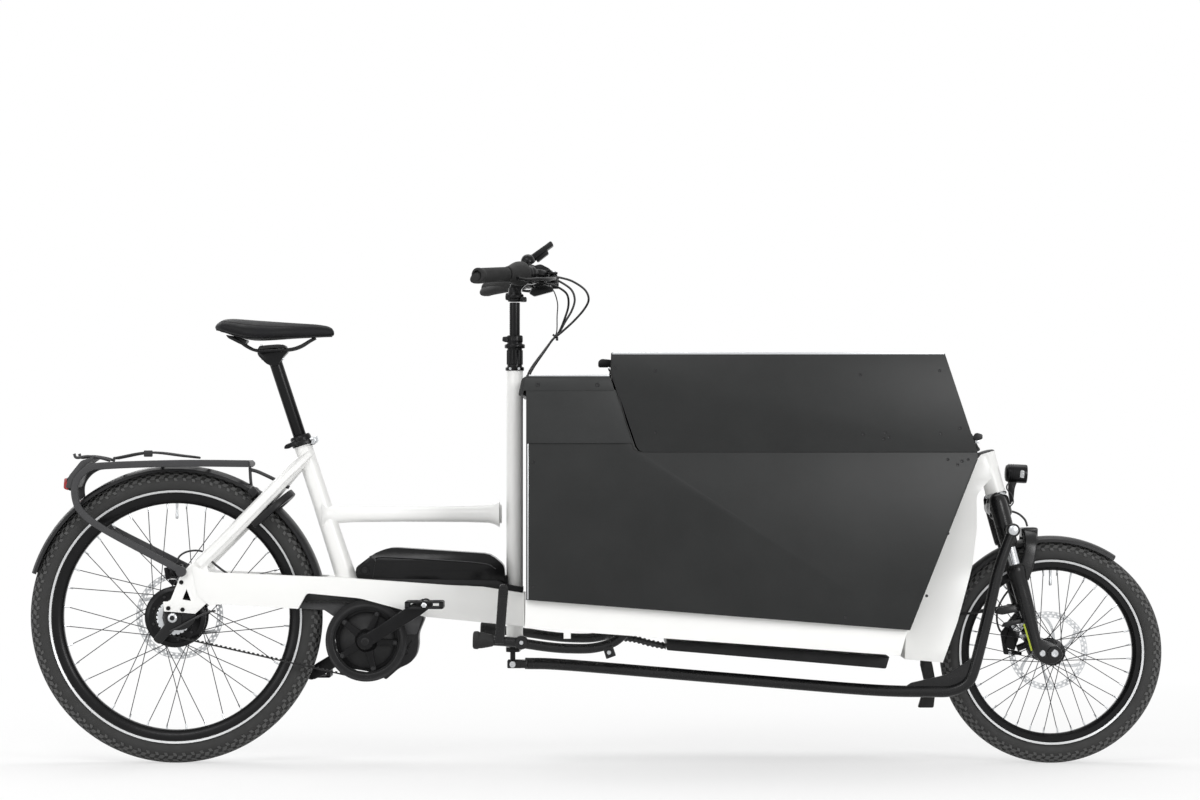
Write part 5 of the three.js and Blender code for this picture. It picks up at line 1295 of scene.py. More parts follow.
# %% Crown and chromed legs
def make_crown():
    socket = [(14.35, 257), (14.7, 257), (14.7, 262), (19.0, 264), (20.2, 270), (20.6, 292), (20.8, 340),
              (20.6, 362), (18.6, 374), (15.0, 381), (9.0, 385), (0, 386)]
    parts = [turned("socket", socket, leg_line(side, 0), leg_line(side, 1), 48) for side in (-1, 1)]
    parts.append(turned("bridge", [
        (0, -62), (22.5, -62), (21.0, -30), (24.0, -12), (24.0, 12), (21.0, 30), (22.5, 62), (0, 62)
    ], leg_line(0, 352), leg_line(0, 352) + Vector((0, 1, 0)), 40))
    start, end = head_line(570), head_line(622)
    parts.append(turned("block", [
        (0, 0), (21, 0), (26, 6), (26.4, 22), (24.6, 25), (26.2, 28), (26.4, 44), (23.0, 50), (18, 51.6), (0, 51.6)
    ], start, end, 48))
    parts.append(rod("steerer", head_line(600), head_line(718), 14))
    ball = STEERING_BALL
    parts.append(turned("arm", [
        (0, 0), (15, 0), (12.5, 12), (10.5, 30), (8.8, 60), (8.2, 74.5), (0, 74.5)
    ], Vector((ball.x, -61, ball.z)), Vector((ball.x, -62, ball.z)), 32))
    place_piece(parts, "fork_crown_shell", BLACK_COAT, "fork", ("fork_crown",))
    stud = turned("stud", [
        (0, -26), (4.4, -26), (4.4, 6.2), (6.4, 5.4), (8.4, 0), (8.0, -3), (6.2, -5.6), (0, -8)
    ][::-1], ball, ball + Vector((0, -1, 0)), 28)
    place_piece(stud, "fork_ball", STEEL, "fork")
    legs = [turned("leg", [(0, 134), (14.2, 134), (14.3, 140), (14.3, 258), (0, 258)], leg_line(side, 0),
                   leg_line(side, 1), 56) for side in (-1, 1)]
    place_piece(legs, "chromed_legs", CHROME, "fork")
    race = turned("race", [
        (17.6, -1.6), (24.6, -1.6), (25.4, 0.8), (25.4, 3.2), (24, 5.2), (17.6, 5.2)
    ], head_line(622), head_line(628), 48, ring=True)
    place_piece(race, "lower_head_race", STEEL, "fork")
    stop = slab("stop", [
        (914, 572, 3), (919, 598, 3), (924, 622, 3), (946, 624, 3), (948, 610, 3), (940, 574, 3)
    ], -38, -25, edge=1.6)
    place_piece(stop, "steering_stop", PLASTIC, "fork")
    fasteners("stop_screws", [(922, -38, 582), (931, -38, 614)], (0, -1, 0), 3.2, 2.0, STEEL, "fork")
    plate = slab("plate", [(927, 560, 2), (941, 557, 2), (933, 604, 2), (920, 602, 2)], -29.5, -24, edge=0.8)
    place_piece(plate, "crown_plate", STEEL, "fork")
    caps = [turned("cap", [
        (0, 3), (3.5, 3), (4.2, 1), (8.5, 1.4), (10.5, 0), (11.5, -3)
    ], leg_line(side, 385), leg_line(side, 386), 32) for side in (-1, 1)]
    place_piece(caps, "leg_caps", BLACK_ANODISED, "fork")


make_crown()


# %% Lower legs and arch
def make_lowers():
    parts = []
    for side in (-1, 1):
        parts.append(turned("leg", [
            (0, -9), (8, -8), (12, -3), (13.4, 6), (13.8, 40), (15.0, 76), (18.0, 100), (19.2, 150), (19.6, 186),
            (21.4, 195), (22.0, 201), (21.6, 208), (19.8, 211), (15.0, 211.4)
        ], leg_line(side, 0), leg_line(side, 1), 48))
        parts.append(rod("axle_boss", *axle_line(FRONT, side * 50, side * 77), 17, segments=40, edge=2))
        parts.append(rod("stay_mount", (994, side * 58, 362), (964, side * 50, 362), 5))
    parts += slab_pair("dropout", [
        (1008, 262, 10), (1030, 234, 12), (1060, 232, 16), (1080, 250, 16), (1076, 268, 14), (1050, 284, 12),
        (1024, 292, 8)], 50, 74, 2.4)
    half = [(986, 62, 432), (1000, 61, 470), (1007, 56, 510), (1007, 36, 533)]
    route = sided(half, -1) + [(1006, 0, 540)] + half[::-1]
    parts.append(swept("arch", bar_section(6.5, 15, 5), route, 7, sizes=[1.1, 1.0, 1.0, 1.0, 1.0, 1.0, 1.1]))
    parts.append(slab("arch_top", [(992, 524, 5), (1026, 524, 5), (1027, 548, 6), (990, 547, 6)], -34, 34, edge=3))
    parts.append(rod("brake_mount", (990, 62, 342), (970, 62, 318), 8))
    parts.append(rod("brake_mount", (1012, 62, 272), (988, 62, 262), 8))
    parts.append(slab("stay_block", [
        (922, 350, 4), (930, 362, 4), (984, 372, 4), (990, 356, 4), (940, 346, 4)], -58, -47, edge=1.6))
    parts.append(slab("guard_clip", [
        (938, 318, 4), (944, 328, 4), (998, 340, 3), (998, 330, 3), (950, 318, 4)], -56, -50, edge=1.2))
    place_piece(parts, "fork_lower_legs", BLACK_COAT, "lower_legs", ("fork_lowers",))
    seals = [turned("seal", [
        (14.5, 211), (17.8, 211), (18.4, 213.5), (16.4, 216.5), (14.5, 216.5)
    ], leg_line(side, 0), leg_line(side, 1), 40, ring=True) for side in (-1, 1)]
    place_piece(seals, "wiper_seals", GRIP_RUBBER, "lower_legs")
    axle = [turned("axle_end", [
        (0, 82), (3.0, 82), (3.4, 84.6), (7.4, 84.8), (8.6, 83.4), (8.8, 76), (0, 76)
    ], *axle_line(FRONT, 0, side), 32) for side in (-1, 1)]
    place_piece(axle, "front_axle_ends", STEEL, "lower_legs")
    screw = turned("leg_screw", [
        (0, 1), (2.6, 1), (3.0, 3), (6.0, 3), (7.4, 1.6), (7.6, -2)], (1032, -74, 258), (1032, -75, 258), 24)
    place_piece(screw, "leg_foot_screw", STEEL, "lower_legs")
    strip = swept("strip", [(-0.8, -2), (0.8, -2), (0.8, 2), (-0.8, 2)],
                  [leg_line(-1, 14) + Vector((-14, -6, -4)), leg_line(-1, 44) + Vector((-14.4, -6, -4)),
                   leg_line(-1, 78) + Vector((-15.4, -6, -4))], 4)
    place_piece(strip, "warning_strip", FLUO_TAPE, "lower_legs")


make_lowers()


# %% Front brake and hoses
def make_front_brake():
    body = softened_mesh("front_caliper", 3.0)
    piston = turned("piston", PISTON, (972, 29, 287), (972, 28, 287), 36)
    bracket = slab("bracket", [
        (946, 300, 4), (958, 316, 4), (976, 322, 3), (988, 318, 3), (972, 304, 4), (962, 262, 4), (996, 256, 3),
        (996, 248, 3), (954, 250, 4)], 30, 38, edge=1.2)
    place_piece([body, piston, bracket], "front_caliper_shell", BLACK_ANODISED,
                "lower_legs", ("front_caliper",))
    fasteners("caliper_screws", [(975, 29.8, 315), (968, 29.8, 254)], (0, -1, 0), 4.6, 3.2, STEEL, "lower_legs")
    upper = hose("front_hose_upper", [
        (946, 12, 584), (962, 10, 586), (984, 6, 580), (1000, 2, 566), (1006, 0, 550)], 2.5, None)
    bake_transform(upper)
    hose("front_hose_lower", [
        (1003, 46, 524), (996, 56, 470), (984, 66, 420), (958, 62, 384), (944, 56, 358), (940, 50, 330),
        (946, 46, 306), (956, 44, 298)], 2.4, "lower_legs")


make_front_brake()


# %% Steering rod
def make_steering_rod():
    y = -165.0
    ball = STEERING_BALL
    route = [(-161.7, y, 240), (-60, y, 236), (300, y, 206), (620, y, 180), (760, y, 176), (812, y, 178),
             (848, y, 196), (866, y, 234), (896, y, 352), (920, y - 1, 453), (ball.x - 6, ball.y - 3, 532)]
    tube = swept("tube", round_section(13.2, 28), route, 8, sizes=[1.0] * 9 + [0.97, 0.86], up=(0, 1, 0))
    plate = slab("plate", [
        (700, 182, 4), (815, 184, 12), (852, 206, 12), (872, 262, 4), (850, 246, 14), (800, 214, 14), (720, 196, 4)
    ], y - 5, y + 5, edge=1.2)
    fork = [boxed("fork", -201.7, -169.7, low, low + 7, 230, 248, 1.6) for low in (y - 22, y + 15)]
    fork.append(boxed("fork", -174.7, -155.7, y - 22, y + 22, 230, 248, 3))
    cup = turned("cup", [
        (10.4, -11), (13.8, -11), (15.6, -8.5), (15.8, 8.5), (13.8, 11), (10.4, 11)
    ], ball, ball + Vector((0, 1, 0)), 40, ring=True)
    boot = turned("boot", [(13.4, 10.6), (12.6, 13), (10, 15), (9.2, 18), (6.2, 20)], ball, ball + Vector((0, 1, 0)),
                  32)
    place_piece([tube, plate, *fork, cup], "steering_rod_tube", BLACK_COAT, "rod", ("steering_rod",))
    place_piece(boot, "ball_boot", GRIP_RUBBER, "rod")
    cover = turned("cover", [(0, 13.8), (7, 13.4), (11, 11.6), (11.4, 10.6), (0, 10.6)], ball,
                   ball + Vector((0, -1, 0)), 36)
    place_piece(cover, "ball_cover", STEEL, "rod")
    softened_node("rod_joint", STEEL, 1.0)
    pin = turned("pin", [
        (0, 24), (3, 24), (3.4, 26), (6.6, 26), (7.6, 24.4), (7.6, 21.6), (0, 21.6)
    ], (COLUMN_X, y, 239), (COLUMN_X, y - 1, 239), 28)
    place_piece(pin, "rod_pin", STEEL, "rod")


make_steering_rod()


# %% Headlight
def make_headlight():
    centre = Vector((979, 0, 673))
    ahead = centre + Vector((1, 0, -0.05))
    shell = turned("shell", [
        (0, -25), (12, -25), (17.5, -23.5), (20, -20), (21.2, -10), (21.8, 0), (21.8, 22), (21.2, 25.4), (19.6, 26),
        (18.8, 24.6), (18.6, 20), (0, 18)], centre, ahead, 56)
    fins = [turned("fin", [
        (20.2, t), (22.0, t + 0.6), (22.0, t + 2.2), (20.2, t + 2.8)
    ], centre, ahead, 56, ring=True) for t in (-18, -13, -8)]
    stem = slab("stem", [
        (962, 664, 3), (984, 660, 3), (976, 640, 6), (973, 612, 4), (966, 600, 2), (961, 634, 5)], -8, 8, edge=1.6)
    place_piece([shell, *fins, stem], "headlight_shell", BLACK_ANODISED, "fork", ("headlight",))
    glass = turned("glass", [
        (0, 27.0), (9, 26.4), (16, 24.6), (18.4, 22.4), (18.4, 20.6), (0, 20.6)], centre, ahead, 48)
    place_piece(glass, "headlight_lens", CLEAR_LENS, "fork")
    bowl = turned("bowl", [(17.8, 20.2), (14, 19.6), (9, 19.0), (4, 18.6), (0, 18.5)], centre, ahead, 40)
    place_piece(bowl, "headlight_bowl", CHROME, "fork")
    window = slab("window", [(986, 664, 3), (996, 662, 3), (997, 680, 3), (988, 681, 3)], -22.3, -20.6, edge=0.5)
    place_piece(window, "side_window", CLEAR_LENS, "fork")
    hose("light_cable", [
        (966, -6, 654), (958, -8, 646), (958, -8, 636), (968, -9, 624), (972, -10, 606), (962, -12, 594)
    ], 1.6, "fork")


make_headlight()


# %% Mudguards
def guard(name, wheel, radius, half, skirt, low, high, steps, body, node, extra=()):
    """A folded channel of thin plastic carried round the wheel, with a rolled edge and a faint crease."""
    shape = [(-skirt, 1.0), (-6.5, 0.97), (-2.2, 0.78), (0.6, 0.4)]
    section = ([(radius + rise, -half * share) for rise, share in shape] + [(radius + 1.5, 0)]
               + [(radius + rise, half * share) for rise, share in shape[::-1]])
    inner = [(r - 2.1 if abs(y) < half * 0.9 else r, y - math.copysign(2.2, y) if abs(y) > half * 0.7 else y)
             for r, y in section[::-1]]
    ring = section + inner
    bm = bmesh.new()
    rings = []
    for i in range(steps + 1):
        turn = math.radians(low + (high - low) * i / steps)
        rings.append([bm.verts.new((wheel["x"] + r * math.cos(turn), y, wheel["z"] + r * math.sin(turn)))
                      for r, y in ring])
    skin(bm, rings)
    band = finish_bmesh(bm, name)
    return place_piece([band, *extra], name, PLASTIC, body, (node,), 44)


STAY_ROUTE = [(812, 28.6, 345), (880, 34, 350), (962, 46, 362)]
front_stays = [swept("stay", round_section(2.6, 12), sided(STAY_ROUTE, side), 5) for side in (-1, 1)]
guard("front_guard", FRONT, 269.0, 30.0, 13.0, 56, 161, 56, "lower_legs", "front_mudguard", front_stays)
guard("rear_guard", REAR, 351.0, 36.0, 13.0, 14, 163, 84, "chassis", "rear_mudguard")

# %% [markdown]
# ## The cargo box
# Flat laminate boards with sawn edges, screwed to hidden angles. The lid is one shell hinged across the
# front. Thin pale aluminium edging runs along its upper edges, its pale colour partly a painted highlight of those
# lit edges, and a rubber seal closes the joint.


# %% Boards, hood and lid
def make_box():
    for node in ("box_side_right", "box_side_left", "box_rear_wall", "box_front_wall", "box_floor"):
        softened_node(node, BOARD, 0.7)
    # The hood and its fascia take the board colour painted half a tone paler, as painted light
    softened_node("rear_hood", BOARD_PAINTED_LIGHTER, 0.9)
    softened_node("lid", BOARD, 1.0)
    softened_node("lid_handle", PLASTIC, 1.4)
    # Pale aluminium edging on the lid's and hood's top edges and beads at the rear corners: partly real trim, partly
    # a painted highlight on those lit edges
    edging = slab_pair("edging", [(37, 941.6), (783, 941.6), (782, 946.8), (38, 946.8)], 309, 320.9, 0.6)
    place_piece(edging, "lid_edging", PALE_TRIM_AND_PAINTED_HIGHLIGHT, "lid_body")
    rails = slab_pair("rail", [(-150, 892.4), (30.8, 892.4), (30, 895.8), (-150, 895.8)], 312, 324.2, 0.6)
    place_piece(rails, "hood_edging", PALE_TRIM_AND_PAINTED_HIGHLIGHT, "chassis")
    corners = slab_pair("corner", [(-153.4, 392), (-150.6, 392), (-150.6, 741), (-153.4, 741)], 316, 321.2, 0.4)
    place_piece(corners, "corner_beads", PALE_TRIM_AND_PAINTED_HIGHLIGHT, "chassis")
    fascia = slab_pair("fascia", [(-164, 860), (40.6, 860), (33, 888), (-158, 888)], 322.8, 325, 0.6)
    fascia += slab_pair("fascia", [(-155.4, 742.6), (82.4, 742.6), (81.9, 744.6), (-155.4, 744.6)], 322.9, 323.9)
    place_piece(fascia, "hood_fascia", BOARD_PAINTED_LIGHTER, "chassis")
    seal = slab_pair("seal", [
        (856, 721.7), (96, 721.7), (84, 728), (46, 864), (33, 900), (34.5, 944), (36.5, 944), (35.2, 900),
        (48, 866), (86.5, 730), (97, 723.4), (856, 723.4)], 311.5, 320.4)
    seal.append(slab("seal", [(30.5, 898), (34, 898), (34.6, 906), (31, 906)], -318, 318))
    place_piece(seal, "lid_seal", GRIP_RUBBER, "lid_body")


make_box()


# %% Screws and rivets by Geometry Nodes
def scatter_tree():
    """One copy of the piece on each vertex of the input mesh."""
    tree = bpy.data.node_groups.new("piece_on_each_point", "GeometryNodeTree")
    face = tree.interface
    for name, kind in (("Points", "NodeSocketGeometry"), ("Piece", "NodeSocketObject"),
                       ("Material", "NodeSocketMaterial")):
        face.new_socket(name, in_out="INPUT", socket_type=kind)
    face.new_socket("Result", in_out="OUTPUT", socket_type="NodeSocketGeometry")
    given = add(tree, "NodeGroupInput").outputs
    shape = add(tree, "GeometryNodeObjectInfo", {"Object": given["Piece"]}).outputs["Geometry"]
    copies = {"Points": given["Points"], "Instance": shape}
    return set_copies(tree, copies, given["Material"])


SCATTER = scatter_tree()


def scattered(name, head, spots, material, body):
    """Equal small heads, drawn about the origin, set on a list of places in millimetres."""
    points = bpy.data.meshes.new(name + "_points")
    points.from_pydata([tuple(c * MM for c in spot) for spot in spots], [], [])
    source = bpy.data.objects.new(name + "_head", head)
    bpy.context.scene.collection.objects.link(source)
    mesh = run_tree(SCATTER, points, name, Piece=source, Material=material)
    bpy.data.objects.remove(source)
    return place_piece(mesh, name, material, body)


def flat_head(radius, height, side):
    """A low countersunk rivet with a small hollow, facing one side of the bicycle."""
    profile = [(0, 0.1), (radius * 0.3, 0.1), (radius * 0.4, height * 0.8), (radius * 0.75, height), (radius, 0.1),
               (radius, -0.6)]
    return turned("head", profile, (0, 0, 0), (0, side, 0), 18)


LID_SPOTS = [
    (44, 912), (594, 896), (772, 905), (650, 766), (658, 756), (646, 752), (600, 762), (774, 764), (134, 766),
    (134, 905), (818, 776)]
SIDE_SPOTS = [
    (836, 706), (822, 702), (812, 694), (790, 706), (790, 540), (742, 400), (-140, 420), (-140, 700), (560, 352)]
HOOD_SPOTS = [(-130, 873), (4, 873)]
# Where the outer faces of the box and of its hood stand, from the middle plane
BOX_FACE, HOOD_FACE = 320.2, 324.8
for side, word in SIDES:
    for name, spots, y, radius, height, body in (
            ("lid_rivets_", LID_SPOTS, BOX_FACE, 3.4, 1.0, "lid_body"),
            ("side_rivets_", SIDE_SPOTS, BOX_FACE, 3.4, 1.0, "chassis"),
            ("hood_screws_", HOOD_SPOTS, HOOD_FACE, 5.0, 1.6, "chassis")):
        scattered(name + word, flat_head(radius, height, side), [(x, side * y, z) for x, z in spots], RIVET, body)


# %% Catches and the handle's screw
def make_catches():
    catches = slab_pair("catch", [
        (846, 752, 3), (858, 748, 3), (869, 752, 3), (869, 762, 3), (856, 766, 3)], 280, 312, 1.2)
    place_piece(catches, "lid_catches", PLASTIC, "lid_body")
    pins = slab_pair("pin", [(852, 742), (862, 742), (862, 750), (852, 750)], 284, 308, 1.4)
    place_piece(pins, "catch_pins", STEEL, "lid_body")
    keeps = slab_pair("keep", [
        (850, 700, 2), (862, 712, 2), (868, 721, 2), (858, 721, 2), (846, 704, 2)], 282, 310, 1.0)
    place_piece(keeps, "catch_keeps", PLASTIC, "chassis")
    screw = turned("screw", [(0, 1), (2.4, 1), (2.8, 3), (6.5, 3), (7.6, 1), (7.6, -1)], (30.4, -22, 918),
                   (29.4, -22, 917.6), 24)
    place_piece(screw, "handle_screw", STEEL, "lid_body")


make_catches()


# %% Pan, mast, cover, hose and skid
def make_under():
    softened_node("cargo_floor_pan", WHITE_COAT, 2.0)
    softened_node("front_mast", WHITE_COAT, 5.0, 50.0, 24.0)
    start, end = head_line(627.6), head_line(721.4)
    height = (end - start).length
    tube = turned("tube", [
        (17.7, 0), (22.4, 0), (23.8, 1.4), (23.8, 6), (23.2, 8), (23.2, height - 8), (23.8, height - 6),
        (23.8, height - 1.4), (22.4, height), (17.7, height)], start, end, 56, ring=True)
    place_piece(tube, "head_tube_sleeve", WHITE_COAT, "chassis")
    cap = turned("cap", [
        (0, 5.5), (8, 5.2), (19, 3.6), (23.4, 0.8), (23.4, -0.4), (0, -0.4)], end, end + (end - start), 44)
    place_piece(cap, "head_tube_cap", BLACK_ANODISED, "fork")
    softened_node("under_floor_cover", PLASTIC, 3.0)
    hose_route = [(22, -177, 305), (53, -178, 300), (88, -179, 296), (124, -180, 287), (160.5, -180, 280)]
    path = curve_points(hose_route, 14)
    sizes = [1.0 if (i // 2) % 2 else 1.34 for i in range(len(path))]
    ribbed = swept("ribbed", round_section(6.2, 20), [tuple(p) for p in path], 1, sizes=sizes)
    place_piece(ribbed, "ribbed_hose", HOUSING, "chassis", ("cable_conduit",), 60)
    softened_node("underride_post", GRIP_RUBBER, 3.0, 40.0, 30.0)


make_under()


# %% Stand
def make_stand():
    route = [(-262, 246, 297), (-190, 246, 293), (-110, 246, 282), (-60, 243, 278), (-5, 238, 279), (40, 232, 292),
             (72, 235, 318)]
    parts = []
    for side in (-1, 1):
        parts.append(swept("leg", round_section(11.2, 24), sided(route, side), 8))
        parts.append(rod("eye", (72, side * 224, 318), (72, side * 242, 318), 15, segments=36, edge=1.5))
    parts.append(rod("pivot", (72, -228, 318), (72, 228, 318), 7.8))
    bar = slab("bar", [
        (-228, 290, 3), (-207, 290, 3), (-197.5, 412, 8), (-201, 424, 8), (-216, 424, 8), (-220, 412, 6)
    ], -263, -252, edge=2.4)
    grooves = [slab("groove", [(-218, z), (-202, z), (-201.6, z + 2), (-217.6, z + 2)], -264.2, -262)
               for z in (396, 401, 406, 411, 416)]
    neck = rod("neck", (-216, -256, 296), (-216, -240, 296), 9)
    clamps = [slab("clamp", [(16, 280, 3), (38, 285, 3), (46, 262, 3), (24, 254, 3)], -245, -231, edge=1.4),
              rod("clamp", (-168, -260, 292), (-168, -234, 292), 15.5, segments=32, edge=2)]
    place_piece([*parts, bar, *grooves, neck, *clamps], "stand_tubes", BLACK_COAT, "prop_stand",
                ("stand",))
    foot = [(0, -14), (15, -14), (19.4, -12), (20.4, -8), (20.4, -2), (18.8, 0), (18.0, 8), (15.6, 20), (13.4, 30),
            (11.4, 33), (11.4, 2)]
    feet = [turned("foot", foot, (-264, side * 246, 297), (-263, side * 246, 296.97), 40) for side in (-1, 1)]
    place_piece(feet, "stand_feet", GRIP_RUBBER, "prop_stand")
    fasteners("stand_screws", [(-168, -259.6, 292), (30, -244.6, 269), (72, -241.6, 318)], (0, -1, 0), 5.4, 3.2,
              STEEL, "prop_stand")


make_stand()

# %% [markdown]
# ## The steering column, the bar and its controls
# The column turns in the frame's tube and carries a sleeve with clamp rings, in which the stem's post
# slides up and down. The bar sweeps back, with soft grips that widen under the palms.


# %% Column and stem
def make_column():
    x = COLUMN_X
    collar = turned("collar", [
        (12.9, 912.9), (16, 912.9), (21.2, 913.2), (21.8, 914.4), (21.8, 920), (20.6, 921.5), (17.4, 922.2),
        (17.4, 925), (17.0, 928), (16.6, 958), (17.4, 960), (17.4, 964.6), (22.8, 965.4), (23.8, 967),
        (23.8, 973), (22.8, 974.6), (18.2, 975.4), (17.6, 978), (18.4, 980), (18.6, 981),
        (18.6, 992), (18.0, 994.4), (15.4, 995.6), (12.9, 995.6)], *COLUMN_LINE, 64, ring=True)
    ribs = [rod("rib", (x + 16 * math.cos(a), 16 * math.sin(a), 927), (x + 16 * math.cos(a), 16 * math.sin(a), 961),
                3.2, segments=14, edge=0.8) for a in (math.radians(10 + 30 * k) for k in range(12))]
    lower = turned("lower", [
        (12.9, 262), (14.5, 262), (14.5, 265), (24, 277), (24, 290), (14.5, 291), (14.5, 912), (12.9, 912)
    ], *COLUMN_LINE, 48, ring=True)
    arm = slab("arm", [(-211, 24, 12), (-168, 24, 12), (-174, -177, 14), (-205, -177, 14)], 266, 276, "XY", 1.4)
    stud = rod("stud", (x, -165, 246), (x, -165, 283), 6)
    nut = turned("nut", [(0, 290), (5.8, 290), (9.4, 287.5), (9.4, 277), (0, 277)], (x, -165, 0), (x, -165, 1), 6)
    ear = boxed("ear", x + 8, x + 18.8, -13, 13, 980, 994, 2)
    place_piece([collar, *ribs, lower, arm, stud, nut, ear], "column_set", BLACK_ANODISED,
                "column", ("steering_column",))
    lever = slab("lever", [
        (-206, 979, 2), (-214, 980, 2), (-219, 982, 3), (-218, 992, 3), (-206, 993, 2)], -9, 9, edge=1.8)
    place_piece(lever, "height_lever", BLACK_COAT, "column")
    screws = [turned("screw", [(0, 1), (2, 1), (2.4, 3), (3.4, 3), (3.9, 1.4), (3.9, -1)], (x, y, 986),
                     (x, y + math.copysign(1, y), 986), 20) for y in (-18.4, 18.4)]
    # Two small bright steel screw heads on the collar's lower ring, which also stand in for two glints there: partly
    # a painted highlight
    heads = [turned("head", [
        (0, 1), (1.2, 1), (1.5, 2.2), (2.8, 2.2), (3.2, 1.2), (3.2, -2)
    ], (x + k, -19.6, 917.4), (x + k, -20.6, 917.4), 18) for k in (-10, 10)]
    place_piece(screws, "column_screws", RIVET, "column")
    place_piece(heads, "collar_screws", STEEL, "column")


def make_stem():
    x = COLUMN_X
    post = turned("post", [(0, 800), (11.4, 800), (12.1, 801), (12.1, 1072), (0, 1072)], *COLUMN_LINE, 56)
    marks = [boxed("mark", x - 12.3, x - 9.6, -7, -3 if k % 5 else -1, 1000 + 5 * k, 1001.4 + 5 * k, 0.2)
             for k in range(14)]
    head = turned("head", [
        (12.1, 1074), (15, 1074), (16.4, 1076), (16.4, 1080), (20, 1081.4), (20.8, 1083), (20.8, 1089), (20, 1091),
        (16.6, 1092.4), (15.6, 1096), (15.6, 1106), (0, 1106)], *COLUMN_LINE, 56)
    route = [(x, 0, 1090), (x + 2, 0, 1106), (x + 14, 0, 1121), (-160, 0, 1133)]
    reach = swept("reach", bar_section(14, 15, 6, 5), route, 7, sizes=[0.9, 0.92, 0.92, 1.0])
    clamp = turned("clamp", [
        (12.2, -24), (20, -24), (22.4, -22), (22.8, -18), (22.2, -14), (22.2, 14), (22.8, 18), (22.4, 22), (20, 24),
        (12.2, 24)], (-152, 0, 1137), (-152, 1, 1137), 48, ring=True)
    plate = slab("plate", [(-133, 1120, 4), (-126, 1128, 6), (-126, 1146, 6), (-134, 1153, 4)], -23, 23, edge=2.4)
    knob = turned("knob", [(0, 3), (5, 3), (8, 1.6), (9, -2), (9, -9), (0, -9)], (x - 19, -3, 1086),
                  (x - 20, -3, 1086), 28)
    place_piece([post, *marks, head, reach, clamp, plate, knob], "stem_set", BLACK_ANODISED,
                "handlebar_set", ("stem",))
    spots = [(-125.6, y, z) for y in (-16, 16) for z in (1127, 1147)]
    fasteners("stem_screws", spots, (1, 0, 0), 4.0, 3.0, STEEL, "handlebar_set")
    side = turned("side", [
        (0, 1), (2.4, 1), (2.8, 3.2), (3.8, 3.2), (4.4, 1.4), (4.4, -1)
    ], (x + 22, -14, 1079), (x + 22, -15, 1079), 22)
    ear = boxed("ear", x + 12, x + 28, -14, 14, 1073.5, 1085, 3)
    place_piece(ear, "stem_ear", BLACK_ANODISED, "handlebar_set")
    place_piece(side, "stem_ear_screw", RIVET, "handlebar_set")


make_column()
make_stem()


# %% Bar, lever bodies and bell
GRIP_IN = Vector((-160.0, 178.0, 1131.0))
GRIP_END = Vector((-264.0, 322.0, 1119.0))


def grip_line(share, side):
    """A point along a grip, from its inner end (0) to its outer end (1)."""
    point = GRIP_IN.lerp(GRIP_END, share)
    return Vector((point.x, point.y * side, point.z))


def make_bar():
    route = [grip_line(0.985, -1), grip_line(0.4, -1), grip_line(-0.06, -1), grip_line(-0.18, -1), (-152, -84, 1137),
             (-152, 0, 1137), (-152, 84, 1137), grip_line(-0.18, 1), grip_line(-0.06, 1), grip_line(0.4, 1),
             grip_line(0.985, 1)]
    parts = [swept("tube", round_section(11.1, 28), route, 8, up=(1, 0, 0))]
    for side in (-1, 1):
        parts.append(turned("body", [
            (11, -4), (16.5, -4), (18, -2), (18.2, 6), (17.2, 9), (18.2, 12), (18.2, 22), (16.5, 24.5), (11, 24.5)
        ], grip_line(-0.1, side), grip_line(0.04, side), 36, ring=True))
        parts.append(swept("master", bar_section(11, 9, 6), sided([
            (-150, 154, 1133), (-136, 148, 1133), (-125, 132, 1132), (-114, 104, 1132), (-111, 88, 1132)
        ], side), 6, sizes=[0.9, 1.05, 1.0, 0.9, 0.7]))
        ear = [(-112, side * 114, 4), (-88, side * 112, 6), (-88, side * 130, 6), (-112, side * 132, 4)]
        parts += [slab("ear", ear, low, low + 5.4, "XY", 1.4) for low in (1110, 1131.6)]
    bell = [(0, 36), (5, 35.5), (11, 32.6), (15, 27), (16.2, 20), (16, 16.5), (15, 16), (4, 17), (3.4, 0), (0, 0)]
    parts.append(turned("bell", bell, (-152, -114, 1143), (-160, -114, 1175), 44))
    parts += slab_pair("block", [
        (-152, 1124, 4), (-152, 1150, 6), (-128, 1157, 6), (-106, 1146, 6), (-96, 1130, 4), (-102, 1118, 4),
        (-146, 1112, 6)], 84, 104, 2.6)
    parts.append(slab("guide", [
        (-156, 1093, 3), (-150, 1106, 4), (-120, 1114, 4), (-99, 1106, 3), (-100, 1098, 3), (-122, 1092, 4),
        (-144, 1086, 3)], -17, 17, edge=2.0))
    parts.append(turned("band", [
        (11, -6), (14, -6), (14.6, -4), (14.6, 4), (14, 6), (11, 6)
    ], (-152, -114, 1136.4), (-152, -115, 1136.4), 28, ring=True))
    place_piece(parts, "bar_set", BLACK_ANODISED, "handlebar_set", ("handlebar",))
    caps = [slab("cap", [
        (-148, side * 92, 5), (-100, side * 92, 5), (-104, side * 124, 8), (-140, side * 140, 8)
    ], 1139.2, 1142, "XY", 1.0) for side in (-1, 1)]
    place_piece(caps, "fluid_caps", PLASTIC, "handlebar_set")


make_bar()


